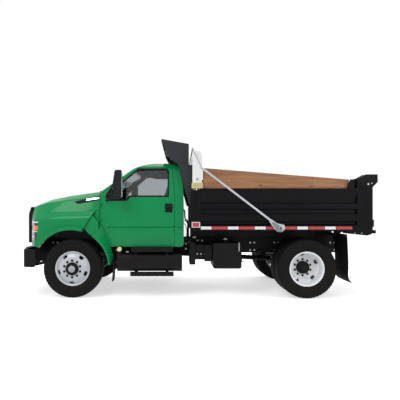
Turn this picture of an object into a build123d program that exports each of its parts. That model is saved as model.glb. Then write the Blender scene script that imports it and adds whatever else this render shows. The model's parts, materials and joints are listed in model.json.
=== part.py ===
"""A conventional-cab dump truck with a ribbed steel body, cab shield and flip tarp.

X runs from nose to tail and is measured from the front axle while the pieces are made.
Z is up from the ground, and the truck's left side is -Y. Widths are half-widths from the
centre plane. At the end each piece moves so that the origin lies under the middle of the truck.
"""
from build123d import *
import math
import os

# Overall sizes, in mm
NOSE = -1010.0
WHEELBASE = 4013.0
TAIL = WHEELBASE + 1237.0
MIDDLE = (NOSE + TAIL) / 2
CLEARANCE = 5.0
SEAT_GAP = 0.3
PIN_PLAY = 0.05

# Wheels
TYRE_RADIUS = 505.0
TYRE_WIDTH = 276.0
RIM_RADIUS = 298.0
RIM_WALL = 14.0
BEAD_RADIUS = 286.0
DISC_THICKNESS = 14.0
FRONT_TRACK_HALF = 1016.0
FRONT_DISC_BULGE = 50.0
DUAL_SPACING = 310.0
REAR_OUTER_HALF = 1082.0
REAR_INNER_HALF = REAR_OUTER_HALF - DUAL_SPACING
DUAL_MIDDLE = (REAR_OUTER_HALF + REAR_INNER_HALF) / 2
HAND_HOLE_RADIUS = 236.0
HAND_HOLES = 5
FRONT_HOLE_TURN = 51.0
REAR_HOLE_TURN = 25.0
HUB_INSIDE = 945.0
SPINDLE_RADIUS = 32.0

# Chassis
RAIL_OUTER = 430.0
RAIL_FLANGE = 80.0
RAIL_BOTTOM = 713.0
RAIL_TOP = 965.0
RAIL_THICKNESS = 9.0
RAIL_FRONT = -845.0
RAIL_REAR = WHEELBASE + 867.0
AXLE_HEIGHT = TYRE_RADIUS
AXLE_TUBE = 88.0
KINGPIN_HALF = 880.0
KINGPIN_RADIUS = 20.0
SPRING_WIDTH = 76.0
SUBFRAME_TOP = 1015.0

# Bumper
BUMPER_BOTTOM = 533.0
BUMPER_TOP = 837.0
BUMPER_HALF = 1190.0
BUMPER_BACK = -900.0
BUMPER_CORNER = -835.0
BUMPER_END = -618.0
TOW_X = -935.0
TOW_Z = 492.0
TOW_RADIUS = 17.5

# Wheel arch
ARCH_X = -25.0
ARCH_Z = 515.0
ARCH_RADIUS = 655.0
FLARE_HALF = 1180.0
LINING = 20.0
FENDER_HALF = 1140.0

# Cab
CAB_HALF = 1015.0
CAB_BOTTOM = 870.0
CAB_FLOOR = 1050.0
CAB_UNDERSIDE = 1000.0
ROCKER_INSIDE = 770.0
DOOR_BOTTOM = 885.0
CAB_WALL = 55.0
DOOR_REAR = 1751.0
DOOR_TOP = 2272.0
DOOR_HINGE_X = 452.0
DOOR_HINGE_HALF = 1026.0
GLASS = 6.0

# Dump body
BODY_HALF = 1220.0
SIDE_DEPTH = 153.0
BODY_INSIDE = BODY_HALF - SIDE_DEPTH
BODY_FRONT = 2033.0
BODY_REAR = TAIL - 132.0
BODY_BOTTOM = 1157.0
FLOOR_TOP = 1232.0
FLOOR_PLATE = 12.0
BODY_TOP = 1881.0
REAR_POST_FRONT = BODY_REAR - 264.0
FRONT_POST_REAR = BODY_FRONT + 160.0
TIP_X = RAIL_REAR - 30.0
TIP_Z = 1046.0
TIP_PIN = 22.0
GATE_X = BODY_REAR + 32.0
GATE_Z = 2040.0
GATE_PIN = 16.0
SHIELD_HALF = BODY_INSIDE
SHIELD_PLATE = 8.0
BOARD_HALF = BODY_HALF - 100.0
BOARD_THICKNESS = 38.0

# Hoist
HOIST_BASE_X = 2400.0
HOIST_BASE_Z = 760.0
HOIST_PIN_X = TIP_X - 600.0
HOIST_PIN_Z = 1068.0
HOIST_PIN_RADIUS = 25.0
HOIST_TRUNNION = 250.0
HOIST_ROD_RADIUS = 55.0

# Tarp frame
TARP_X = 3536.0
TARP_Z = 1211.0
ARM_HALF = BODY_HALF + 70.0
TARP_BOSS = 18.0
TARP_PIN = 14.0
ARM_RADIUS = 20.0
BOW_RADIUS = 12.5

parts = {}


def box(x0, x1, y0, y1, z0, z1):
    """A block between two corners."""
    return Pos((x0 + x1) / 2, (y0 + y1) / 2, (z0 + z1) / 2) * Box(x1 - x0, y1 - y0, z1 - z0)


def plate(outline, y0, y1):
    """An outline of (x, z) points, from y0 to y1."""
    face = make_face(Polyline(*[(x, y0, z) for x, z in outline], close=True))
    return extrude(face, amount=y1 - y0, dir=(0, 1, 0))


def section(outline, x0, x1):
    """An outline of (y, z) points, from x0 to x1."""
    face = make_face(Polyline(*[(x0, y, z) for y, z in outline], close=True))
    return extrude(face, amount=x1 - x0, dir=(1, 0, 0))


def slab(outline, z0, z1):
    """An outline of (x, y) points, from z0 to z1."""
    face = make_face(Polyline(*[(x, y, z0) for x, y in outline], close=True))
    return extrude(face, amount=z1 - z0, dir=(0, 0, 1))


def rod(start, end, radius):
    """A round bar between two points."""
    run = Vector(*end) - Vector(*start)
    return Plane(origin=start, z_dir=run) * extrude(Circle(radius), amount=run.length)


def across(x, z, y0, y1, radius):
    """A round bar along Y."""
    return rod((x, y0, z), (x, y1, z), radius)


def turned(profile, x, z):
    """A (half-width, radius) outline revolved about the line through x and z along Y."""
    face = make_face(Polyline(*[(x, half, z + radius) for half, radius in profile], close=True))
    return revolve(face, Axis((x, 0, z), (0, 1, 0)), 360)


def rounded(face, corners):
    """A face with some corners rounded, each given as its point and radius."""
    for point, radius in corners:
        corner = face.vertices().sort_by_distance(point)[0]
        face = fillet(corner, radius).face()
    return face


def plate_rounded(outline, radii, y0, y1):
    """A plate whose corners, counted along the outline, are rounded."""
    face = make_face(Polyline(*[(x, y0, z) for x, z in outline], close=True))
    face = rounded(face, [((outline[number][0], y0, outline[number][1]), radius)
                          for number, radius in radii.items()])
    return extrude(face, amount=y1 - y0, dir=(0, 1, 0))


def other_side(shape):
    """The same piece on the other side of the centre plane."""
    return mirror(shape, about=Plane.XZ)


def both(shape):
    """A piece and its mirror image, as solids that don't touch."""
    return Compound(children=[shape, other_side(shape)])


def joined(*shapes):
    """One solid out of pieces that overlap."""
    whole = shapes[0]
    for shape in shapes[1:]:
        whole = whole + shape
    return whole


def group(shapes):
    """Solids that don't touch, in one piece."""
    return Compound(children=list(shapes))


def make_wheels():
    """Four wheels: single at the front, twin at the rear."""
    half_width = TYRE_WIDTH / 2
    rim_half = half_width - 40
    flange = 12.0
    bead = rim_half - SEAT_GAP
    over = RIM_RADIUS + SEAT_GAP
    edge = [(bead, BEAD_RADIUS), (bead, over), (rim_half + flange, over), (half_width, over + 46),
            (half_width, TYRE_RADIUS - 75), (half_width - 22, TYRE_RADIUS - 14), (half_width - 50, TYRE_RADIUS)]
    tyre_profile = edge + [(-half, radius) for half, radius in reversed(edge)]
    well = BEAD_RADIUS - 2 * RIM_WALL

    def barrel(centre):
        """The rim's barrel with a flange at each edge."""
        seat = BEAD_RADIUS - SEAT_GAP
        lip = [(rim_half, seat), (rim_half, RIM_RADIUS), (rim_half + flange, RIM_RADIUS),
               (rim_half + flange, RIM_RADIUS - 10), (rim_half + 2, BEAD_RADIUS - RIM_WALL), (20, well)]
        outline = lip + [(-half, radius) for half, radius in reversed(lip)]
        return turned([(centre + half, radius) for half, radius in outline], 0, AXLE_HEIGHT)

    def hand_holes(first_turn, y0, y1):
        """Oval holes round the disc."""
        holes = []
        for number in range(HAND_HOLES):
            turn = math.radians(first_turn + number * 360 / HAND_HOLES)
            x = HAND_HOLE_RADIUS * math.cos(turn)
            z = AXLE_HEIGHT + HAND_HOLE_RADIUS * math.sin(turn)
            oval = Plane(origin=(x, y0, z), x_dir=(-math.sin(turn), 0, math.cos(turn)), z_dir=(0, 1, 0))
            holes.append(extrude(oval * SlotOverall(84, 46), amount=y1 - y0))
        return holes

    front = FRONT_TRACK_HALF
    face = front + half_width - 34 + FRONT_DISC_BULGE - 20
    disc_edge = BEAD_RADIUS - 12
    disc = turned([(front + rim_half - 34, disc_edge), (front + rim_half - 16, disc_edge), (face - 8, 210),
                   (face, 190), (face, 40), (face - DISC_THICKNESS, 40), (face - DISC_THICKNESS, 184),
                   (face - DISC_THICKNESS - 9, 203)], 0, AXLE_HEIGHT)
    disc = disc - Compound(children=hand_holes(FRONT_HOLE_TURN, front, front + 400))
    bore = SPINDLE_RADIUS + PIN_PLAY
    hub = turned([(HUB_INSIDE, bore), (HUB_INSIDE, 175), (990, 175), (990, 92), (face - DISC_THICKNESS, 92),
                  (face - DISC_THICKNESS, 88), (face + 22, 84), (face + 34, 70), (face + 34, 0),
                  (face + 14, 0), (face + 14, bore)], 0, AXLE_HEIGHT)
    front_rim = joined(barrel(front), disc, hub)
    front_tyre = turned([(front + half, radius) for half, radius in tyre_profile], 0, AXLE_HEIGHT)
    parts["tyre_front_right"] = front_tyre
    parts["rim_front_right"] = front_rim

    rear_discs = []
    for centre, side in ((REAR_OUTER_HALF, 1), (REAR_INNER_HALF, -1)):
        inner = DUAL_MIDDLE
        outer = inner + side * DISC_THICKNESS
        reach = centre - side * (rim_half - 20)
        profile = [(inner, 90), (inner, 200), (reach - side * 12, well + 8), (reach + side * 20, well + 8),
                   (reach + side * 20, well), (outer, 190), (outer, 90)]
        rear_discs.append(turned(profile, 0, AXLE_HEIGHT))
    rear_holes = Compound(children=hand_holes(REAR_HOLE_TURN, DUAL_MIDDLE - 400, DUAL_MIDDLE + 400))
    rear_discs = [disc - rear_holes for disc in rear_discs]
    rear_hub = turned([(660, 62), (660, 205), (DUAL_MIDDLE - 60, 205), (DUAL_MIDDLE - 60, 175),
                       (DUAL_MIDDLE - DISC_THICKNESS, 175), (DUAL_MIDDLE + DISC_THICKNESS, 172),
                       (DUAL_MIDDLE + 20, 110), (DUAL_MIDDLE + 62, 106), (DUAL_MIDDLE + 68, 98),
                       (DUAL_MIDDLE + 68, 58), (DUAL_MIDDLE + 82, 52), (DUAL_MIDDLE + 82, 0),
                       (DUAL_MIDDLE + 50, 0), (DUAL_MIDDLE + 50, 45 + PIN_PLAY),
                       (DUAL_MIDDLE - 90, 45 + PIN_PLAY), (DUAL_MIDDLE - 90, 62)], 0, AXLE_HEIGHT)
    rear_rims = joined(rear_hub, rear_discs[0], rear_discs[1], barrel(REAR_OUTER_HALF), barrel(REAR_INNER_HALF))
    rear_tyres = group(turned([(centre + half, radius) for half, radius in tyre_profile], 0, AXLE_HEIGHT)
                       for centre in (REAR_OUTER_HALF, REAR_INNER_HALF))
    parts["tyres_rear_right"] = Pos(WHEELBASE, 0, 0) * rear_tyres
    parts["rims_rear_right"] = Pos(WHEELBASE, 0, 0) * rear_rims
    for name in ("tyre_front", "rim_front", "tyres_rear", "rims_rear"):
        parts[name + "_left"] = other_side(parts[name + "_right"])


def make_axles():
    """The front beam with its knuckles, the rear axle and the leaf springs."""
    z = AXLE_HEIGHT
    eye_top = 50
    eye_radius = 46
    beam_half = 42
    beam = section([(-610, z - 110), (610, z - 110), (700, z - 60), (840, z - 45), (840, z + 45),
                    (690, z + 35), (590, z - 20), (-590, z - 20), (-690, z + 35), (-840, z + 45),
                    (-840, z - 45), (-700, z - 60)], -beam_half, beam_half)
    for side in (-1, 1):
        eye = Pos(0, side * KINGPIN_HALF, z) * Cylinder(eye_radius, 2 * eye_top)
        bore = Pos(0, side * KINGPIN_HALF, z) * Cylinder(KINGPIN_RADIUS + PIN_PLAY, 4 * eye_top)
        beam = beam + eye - bore
    parts["front_axle"] = beam

    lug_in = KINGPIN_HALF - 40
    lug_low = eye_top + CLEARANCE
    lug_high = lug_low + 35
    back_in = KINGPIN_HALF + eye_radius + CLEARANCE
    back_out = HUB_INSIDE - CLEARANCE
    knuckle = joined(box(-40, 40, lug_in, back_out, z + lug_low, z + lug_high),
                     box(-40, 40, lug_in, back_out, z - lug_high, z - lug_low),
                     box(-50, 50, back_in, back_out, z - lug_high, z + lug_high),
                     Pos(0, KINGPIN_HALF, z) * Cylinder(KINGPIN_RADIUS, 2 * lug_high),
                     across(0, z, back_in, HUB_INSIDE + 160, SPINDLE_RADIUS))
    parts["knuckle_right"] = knuckle
    parts["knuckle_left"] = other_side(knuckle)

    housing = turned([(0, 0), (0, 205), (70, 200), (150, 150), (230, 96), (RAIL_OUTER - 40, AXLE_TUBE),
                      (640, AXLE_TUBE), (640, 60), (655, 60),
                      (655, 45), (DUAL_MIDDLE + 40, 45), (DUAL_MIDDLE + 40, 0)], 0, z)
    nose = rod((-60, 0, z), (-330, 0, z + 40), 85)
    rear = joined(housing, other_side(housing), nose)
    parts["rear_axle"] = Pos(WHEELBASE, 0, 0) * rear

    packs = []
    for centre, half_length, top, middle in ((0.0, 640.0, 690.0, AXLE_HEIGHT - 20.0),
                                             (WHEELBASE, 690.0, 690.0, AXLE_HEIGHT + AXLE_TUBE)):
        thick = 60.0
        inner = RAIL_OUTER - SPRING_WIDTH if centre == 0 else RAIL_OUTER + SEAT_GAP
        half = half_length
        bottom = middle + SEAT_GAP
        pack = plate([(centre - half, top), (centre - half, top - 14), (centre - half * 0.5, bottom + 60),
                      (centre - 80, bottom), (centre + 80, bottom), (centre + half * 0.5, bottom + 60),
                      (centre + half, top - 14), (centre + half, top), (centre + half * 0.5, bottom + 60 + 30),
                      (centre + 80, bottom + thick), (centre - 80, bottom + thick),
                      (centre - half * 0.5, bottom + 60 + 30)], inner, inner + SPRING_WIDTH)
        hangers = [box(centre + end - 30, centre + end + 30, inner, inner + SPRING_WIDTH, top - 6,
                       RAIL_BOTTOM + 60 if centre else RAIL_BOTTOM - SEAT_GAP) for end in (-half + 30, half - 30)]
        packs.append(joined(pack, *hangers))
    parts["leaf_springs"] = group([packs[0], other_side(packs[0]), packs[1], other_side(packs[1])])


def make_frame():
    """Two channel rails, what joins them, and the drive down their middle."""
    rail = section([(RAIL_OUTER, RAIL_BOTTOM), (RAIL_OUTER, RAIL_TOP), (RAIL_OUTER - RAIL_FLANGE, RAIL_TOP),
                    (RAIL_OUTER - RAIL_FLANGE, RAIL_TOP - RAIL_THICKNESS),
                    (RAIL_OUTER - RAIL_THICKNESS, RAIL_TOP - RAIL_THICKNESS),
                    (RAIL_OUTER - RAIL_THICKNESS, RAIL_BOTTOM + RAIL_THICKNESS),
                    (RAIL_OUTER - RAIL_FLANGE, RAIL_BOTTOM + RAIL_THICKNESS),
                    (RAIL_OUTER - RAIL_FLANGE, RAIL_BOTTOM)], RAIL_FRONT, RAIL_REAR)
    for x in (560.0, 1760.0):
        rail = rail + box(x, x + 100, RAIL_OUTER - RAIL_FLANGE, RAIL_OUTER, RAIL_TOP - 1, CAB_UNDERSIDE - SEAT_GAP)
    parts["frame_rail_right"] = rail
    parts["frame_rail_left"] = other_side(rail)

    web = RAIL_OUTER - RAIL_THICKNESS - SEAT_GAP
    low = RAIL_BOTTOM + RAIL_THICKNESS + SEAT_GAP
    members = []
    for x, lift, height in ((-835.0, 0, 200.0), (1080.0, 110, 120.0), (1500.0, 0, 120.0), (2200.0, 0, 200.0),
                            (WHEELBASE - 763, 0, 60.0), (WHEELBASE + 547, 0, 110.0), (TIP_X - 60, 0, 200.0)):
        members.append(box(x, x + 80, -web, web, low + lift, low + lift + height))
    parts["crossmembers"] = group(members)

    mount = RAIL_OUTER - RAIL_FLANGE - SEAT_GAP
    parts["engine"] = joined(box(-520, 300, -300, 300, 740, 1330), box(299, 900, -170, 170, 640, 900),
                             box(-320, -220, -mount, mount, 900, 975), box(100, 200, -mount, mount, 900, 975))
    between = RAIL_OUTER - RAIL_FLANGE - SEAT_GAP
    parts["radiator"] = joined(box(-730, -650, -between, between, 780, 1420),
                               box(-730, -650, -410, 410, RAIL_TOP + SEAT_GAP, 1420))
    shaft = rod((910, 0, 700), (WHEELBASE - 345, 0, AXLE_HEIGHT + 45), 45)
    parts["driveshaft"] = joined(shaft, rod((900 + SEAT_GAP, 0, 700), (1010, 0, 700), 80),
                                 rod((2300, 0, 628), (2400, 0, 624), 75))

    subrail = section([(RAIL_OUTER - RAIL_FLANGE, RAIL_TOP + SEAT_GAP), (RAIL_OUTER - RAIL_FLANGE, SUBFRAME_TOP),
                       (RAIL_OUTER, SUBFRAME_TOP), (RAIL_OUTER, RAIL_TOP + SEAT_GAP)],
                      BODY_FRONT + 27, TIP_X - 110)
    ear = plate([(TIP_X - 108, RAIL_TOP + SEAT_GAP), (TIP_X - 108, TIP_Z - 30), (TIP_X - 50, TIP_Z + 38),
                 (TIP_X + 45, TIP_Z + 38), (TIP_X + 45, TIP_Z - 20), (TIP_X + 22, RAIL_TOP + SEAT_GAP)],
                RAIL_OUTER - 70, RAIL_OUTER - 40)
    ear = ear - across(TIP_X, TIP_Z, 0, BODY_HALF, TIP_PIN + PIN_PLAY)
    foot = box(TIP_X - 114, TIP_X + 22, RAIL_OUTER - RAIL_FLANGE, RAIL_OUTER, RAIL_TOP + SEAT_GAP, RAIL_TOP + 14)
    side = joined(subrail, foot, ear)
    parts["subframe"] = group([side, other_side(side)])


def make_bumper():
    """A pressed steel bumper that wraps round the corners, with its tow eyes."""
    half_outline = [(NOSE, 0), (NOSE, 400), (-1000, 620), (BUMPER_CORNER, 1145), (BUMPER_END, BUMPER_HALF),
                    (BUMPER_END, BUMPER_HALF - 30), (BUMPER_CORNER + 30, 1105), (BUMPER_BACK, 700), (BUMPER_BACK, 0)]
    face = make_face(Polyline(*[(x, y, BUMPER_BOTTOM) for x, y in half_outline], close=True))
    face = rounded(face, [((BUMPER_CORNER, 1145, BUMPER_BOTTOM), 70)])
    half = extrude(face, amount=BUMPER_TOP - BUMPER_BOTTOM, dir=(0, 0, 1))
    half = half & plate_rounded([(NOSE - 1, BUMPER_BOTTOM), (NOSE - 1, BUMPER_TOP), (BUMPER_END, BUMPER_TOP),
                                 (BUMPER_END, BUMPER_BOTTOM)], {3: 50, 2: 14}, 0, BUMPER_HALF)
    bumper = half + other_side(half)
    bumper = bumper - box(-1005, -930, -330, 330, 610, 730)
    parts["bumper"] = bumper
    back = BUMPER_BACK + SEAT_GAP
    eye = joined(plate([(back, 560), (RAIL_FRONT - SEAT_GAP, 720), (RAIL_FRONT - SEAT_GAP, 760), (back, 760)],
                       350, 380), box(back, RAIL_FRONT - SEAT_GAP, 340, 420, 640, 760))
    hook = plate([(-985, 470), (-925, 450), (-700, 500), (-700, 600), (-740, BUMPER_BOTTOM - 3),
                  (-985, BUMPER_BOTTOM - 3)], 365, 395)
    hook = hook - across(TOW_X, TOW_Z, 0, 500, TOW_RADIUS)
    hook = joined(hook, box(-790, -700, 365, 395, 500, RAIL_BOTTOM - SEAT_GAP))
    parts["front_brackets"] = group([eye, other_side(eye), hook, other_side(hook)])


# The cab seen from the side and from the front
CAB_SIDE = [(441, CAB_BOTTOM), (441, 1848), (488, 1859), (1041, 2262), (1300, 2356), (1600, 2366), (1832, 2325),
            (1904, 1926), (1915, 1600), (1915, CAB_BOTTOM)]
CAB_SIDE_RADII = {3: 600, 4: 600, 5: 500, 6: 110, 9: 60}
CAB_FRONT = [(1000, 760), (1000, 885), (CAB_HALF, 1228), (1002, 1761), (897, 2286), (700, 2372)]
ROOF_CORNER = 4
ROOF_RADIUS = 120.0
DOOR_FRONT = 452.0
DOOR_OUTLINE = [(DOOR_FRONT, 1640), (DOOR_FRONT, 1315), (527, 1180), (592, 1092), (660, 901), (664, DOOR_BOTTOM),
                (DOOR_REAR, DOOR_BOTTOM), (DOOR_REAR, 1790), (1700, DOOR_TOP), (1110, DOOR_TOP), (1041, 2208),
                (814, 2033), (494, 1812), (DOOR_FRONT, 1790)]
WINDOW_OUTLINE = [(568, 1690), (905, 1690), (975, 1761), (1638, 1761), (1638, 2200), (1612, 2240), (1112, 2240),
                  (1030, 2168), (800, 1978), (568, 1806)]
WINDSCREEN = [(474, 1947), (567, 1817), (1071, 2178), (978, 2308)]


def face_xz(outline, grow=0.0):
    """An outline of (x, z) points as a face, grown or shrunk."""
    face = make_face(Polyline(*[(x, 0, z) for x, z in outline], close=True))
    return offset(face, amount=grow, kind=Kind.INTERSECTION) if grow else face


def cab_section(inset, x0, x1):
    """The cab's front profile, pulled in and run along X."""
    right = CAB_FRONT
    left = [(-half, z) for half, z in reversed(CAB_FRONT)]
    face = make_face(Polyline(*[(x0, half, z) for half, z in right + left], close=True))
    corner_half, corner_z = CAB_FRONT[ROOF_CORNER]
    face = rounded(face, [((x0, side * corner_half, corner_z), ROOF_RADIUS) for side in (-1, 1)])
    if inset:
        face = offset(face, amount=-inset, kind=Kind.INTERSECTION)
    return extrude(face, amount=x1 - x0, dir=(1, 0, 0))


def cab_volume(inset):
    """The cab's outer form, pulled in on every side."""
    reach = 1100.0
    face = rounded(face_xz(CAB_SIDE), [((CAB_SIDE[number][0], 0, CAB_SIDE[number][1]), radius)
                                       for number, radius in CAB_SIDE_RADII.items()])
    if inset:
        face = offset(face, amount=-inset, kind=Kind.INTERSECTION)
    side = extrude(Pos(0, -reach, 0) * face, amount=2 * reach, dir=(0, 1, 0))
    return side & cab_section(inset, 400, 2000)


def make_cab():
    """The cab shell with its glass, and the doors that are cut from the same skin."""
    outer = cab_volume(0)
    layer = outer - cab_section(CAB_WALL, 300, 2100)
    deep_layer = outer - cab_section(CAB_WALL + CLEARANCE + 2, 300, 2100)
    reach = 1100.0

    def cut(outline, grow, y0, y1):
        return extrude(Pos(0, y0, 0) * face_xz(outline, grow), amount=y1 - y0, dir=(0, 1, 0))

    screen_half = 838.0
    back_window = box(1700, 2000, -480, 480, 1790, 2160)
    inside = cab_volume(CAB_WALL) - box(300, 2100, -reach, reach, 0, CAB_FLOOR)
    shell = outer - inside - box(300, 2100, -ROCKER_INSIDE, ROCKER_INSIDE, 0, CAB_UNDERSIDE)
    shell = shell - plate(WINDSCREEN, -screen_half, screen_half) - back_window
    for y0, y1 in ((-reach, -700), (700, reach)):
        shell = shell - (deep_layer & cut(DOOR_OUTLINE, CLEARANCE, y0, y1))
        shell = shell - across(ARCH_X, ARCH_Z, y0, y1, ARCH_RADIUS + LINING + SEAT_GAP)
    glass_layer = cab_volume(12) - cab_volume(12 + GLASS)
    windscreen = glass_layer & plate(WINDSCREEN, -screen_half, screen_half)
    rear_glass = glass_layer & back_window

    barrel_radius = 9.0
    barrel = 30.0
    cab_hinges = []
    door_hinges = []
    for z in (1345.0, 1600.0):
        axis = Pos(DOOR_HINGE_X, DOOR_HINGE_HALF, 0)
        middle = axis * Pos(0, 0, z) * Cylinder(barrel_radius, barrel)
        strap = box(441, 447, 990, DOOR_HINGE_HALF, z - barrel / 2, z + barrel / 2)
        hole = axis * Pos(0, 0, z) * Cylinder(4 + PIN_PLAY, barrel)
        cab_hinges.append(joined(middle, strap) - hole)
        for end in (-1, 1):
            at = z + end * (barrel + 2 * SEAT_GAP) / 2 + end * barrel / 4
            door_hinges.append(axis * Pos(0, 0, at) * Cylinder(barrel_radius, barrel / 2))
            door_hinges.append(box(DOOR_HINGE_X, 492, 998, 1021, at - barrel / 4, at + barrel / 4))
        door_hinges.append(axis * Pos(0, 0, z) * Cylinder(4, 2 * barrel))
    for hinge in cab_hinges:
        shell = shell + hinge + other_side(hinge)
    parts["cab_shell"] = shell
    parts["cab_glass"] = group([windscreen, rear_glass])

    door = (layer & cut(DOOR_OUTLINE, 0, 700, reach)) - cut(WINDOW_OUTLINE, 0, 700, reach)
    handle = box(1590, 1715, 990, 1030, 1565, 1590)
    door = joined(door, handle, *door_hinges)
    side_glass = cab_section(22, 300, 2100) - cab_section(22 + GLASS, 300, 2100)
    glass = side_glass & cut(WINDOW_OUTLINE, 0, 700, reach)
    head = plate_rounded([(716, 1700), (716, 1960), (750, 2188), (864, 2188), (864, 1700)],
                         {0: 40, 1: 300, 2: 34, 3: 20, 4: 40}, 1190, 1286)
    head = fillet(head.edges().filter_by(lambda edge: edge.center().Y < 1191), 24)
    arm_from = 985.0
    mirror_set = joined(head, rod((535, arm_from, 1668), (760, 1215, 1745), 13),
                        rod((535, arm_from, 1720), (760, 1215, 2040), 13))
    mirror_set = mirror_set - layer
    for side, flip in (("right", False), ("left", True)):
        for name, shape in (("door", door), ("door_glass", glass), ("mirror", mirror_set)):
            parts[name + "_" + side] = other_side(shape) if flip else shape


def make_cab_inside():
    """What shows through the glass: dash, steering wheel and seats."""
    floor = CAB_FLOOR + SEAT_GAP
    wall = CAB_SIDE[0][0] + CAB_WALL + SEAT_GAP
    dash = plate([(wall, 1400), (wall, 1790), (560, 1800), (760, 1760), (800, 1660), (700, 1500), (640, 1400)],
                 -900, 900)
    parts["dash"] = dash
    column = rod((700, -420, 1580), (880, -420, 1660), 28)
    tilt = Plane(origin=(895, -420, 1667), z_dir=(180, 0, 80))
    wheel = tilt * Torus(205, 15)
    spokes = [tilt * Rot(0, 0, turn) * Pos(102, 0, 0) * Box(204, 34, 14) for turn in (0, 120, 240)]
    parts["steering_wheel"] = joined(wheel, column - dash, tilt * Cylinder(55, 40), *spokes)
    seats = []
    for y in (-420.0, 420.0):
        base = box(1120, 1500, y - 200, y + 200, floor, 1300)
        cushion = box(1060, 1570, y - 260, y + 260, 1300, 1430)
        back = plate([(1450, 1430), (1570, 1430), (1730, 2010), (1620, 2030)], y - 250, y + 250)
        head = plate([(1640, 2025), (1722, 2005), (1748, 2140), (1670, 2165)], y - 130, y + 130)
        seats.append(joined(base, cushion, back, head))
    parts["seats"] = group(seats)


# The hood's sections: x, then half-width and height of its top edge, shoulder and crease, and the
# half-width of its side
HOOD_SECTIONS = [(-820, 560, 1585, 720, 1558, 795, 1405, 818),
                 (-770, 620, 1606, 810, 1573, 905, 1412, 935),
                 (-680, 650, 1642, 870, 1600, 990, 1428, 1055),
                 (-500, 680, 1708, 905, 1645, 1040, 1455, 1130),
                 (-150, 700, 1778, 935, 1688, 1040, 1481, FENDER_HALF),
                 (436, 740, 1858, 975, 1748, 1008, 1500, FENDER_HALF)]
TOP_ROUND = 250.0
SHOULDER_ROUND = 70.0
FENDER_ROUND = 105.0
HOOD_WALL = 30.0
HOOD_HINGE_X = -862.0
HOOD_HINGE_Z = 885.0
GRILLE_HALF = 785.0
GRILLE_BOTTOM = 930.0
GRILLE_TOP = 1572.0


def hood_loft(inset, bottom):
    """Straight-sided skin through the hood's sections, pulled in by a wall."""
    faces = []
    for index, (x, top, top_z, shoulder, shoulder_z, crease, crease_z, side) in enumerate(HOOD_SECTIONS):
        at = x + inset if index == 0 else x
        half = [(side - inset, bottom), (side - inset, crease_z - 90), (crease - inset, crease_z),
                (shoulder - inset, shoulder_z - inset * 0.6), (top - inset * 0.5, top_z - inset)]
        points = half + [(-y, z) for y, z in reversed(half)]
        face = make_face(Polyline(*[(at, y, z) for y, z in points], close=True))
        corners = [((at, flip * half[number][0], half[number][1]), radius) for flip in (-1, 1)
                   for number, radius in ((1, FENDER_ROUND), (3, SHOULDER_ROUND), (4, TOP_ROUND))]
        faces.append(rounded(face, corners))
    return loft(faces, ruled=True)


def ring_outline(inner, outers, start, end, steps):
    """A band round the wheel arch: a constant inner radius and outer radii given by angle."""
    angles = [math.radians(start + (end - start) * step / steps) for step in range(steps + 1)]

    def outer_at(angle):
        degrees = math.degrees(angle)
        for (a0, r0), (a1, r1) in zip(outers, outers[1:]):
            if a0 <= degrees <= a1:
                return r0 + (r1 - r0) * (degrees - a0) / (a1 - a0)
        return outers[-1][1] if degrees > outers[-1][0] else outers[0][1]

    inside = [(ARCH_X + inner * math.cos(a), ARCH_Z + inner * math.sin(a)) for a in angles]
    outside = [(ARCH_X + outer_at(a) * math.cos(a), ARCH_Z + outer_at(a) * math.sin(a)) for a in reversed(angles)]
    return inside + outside


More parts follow.
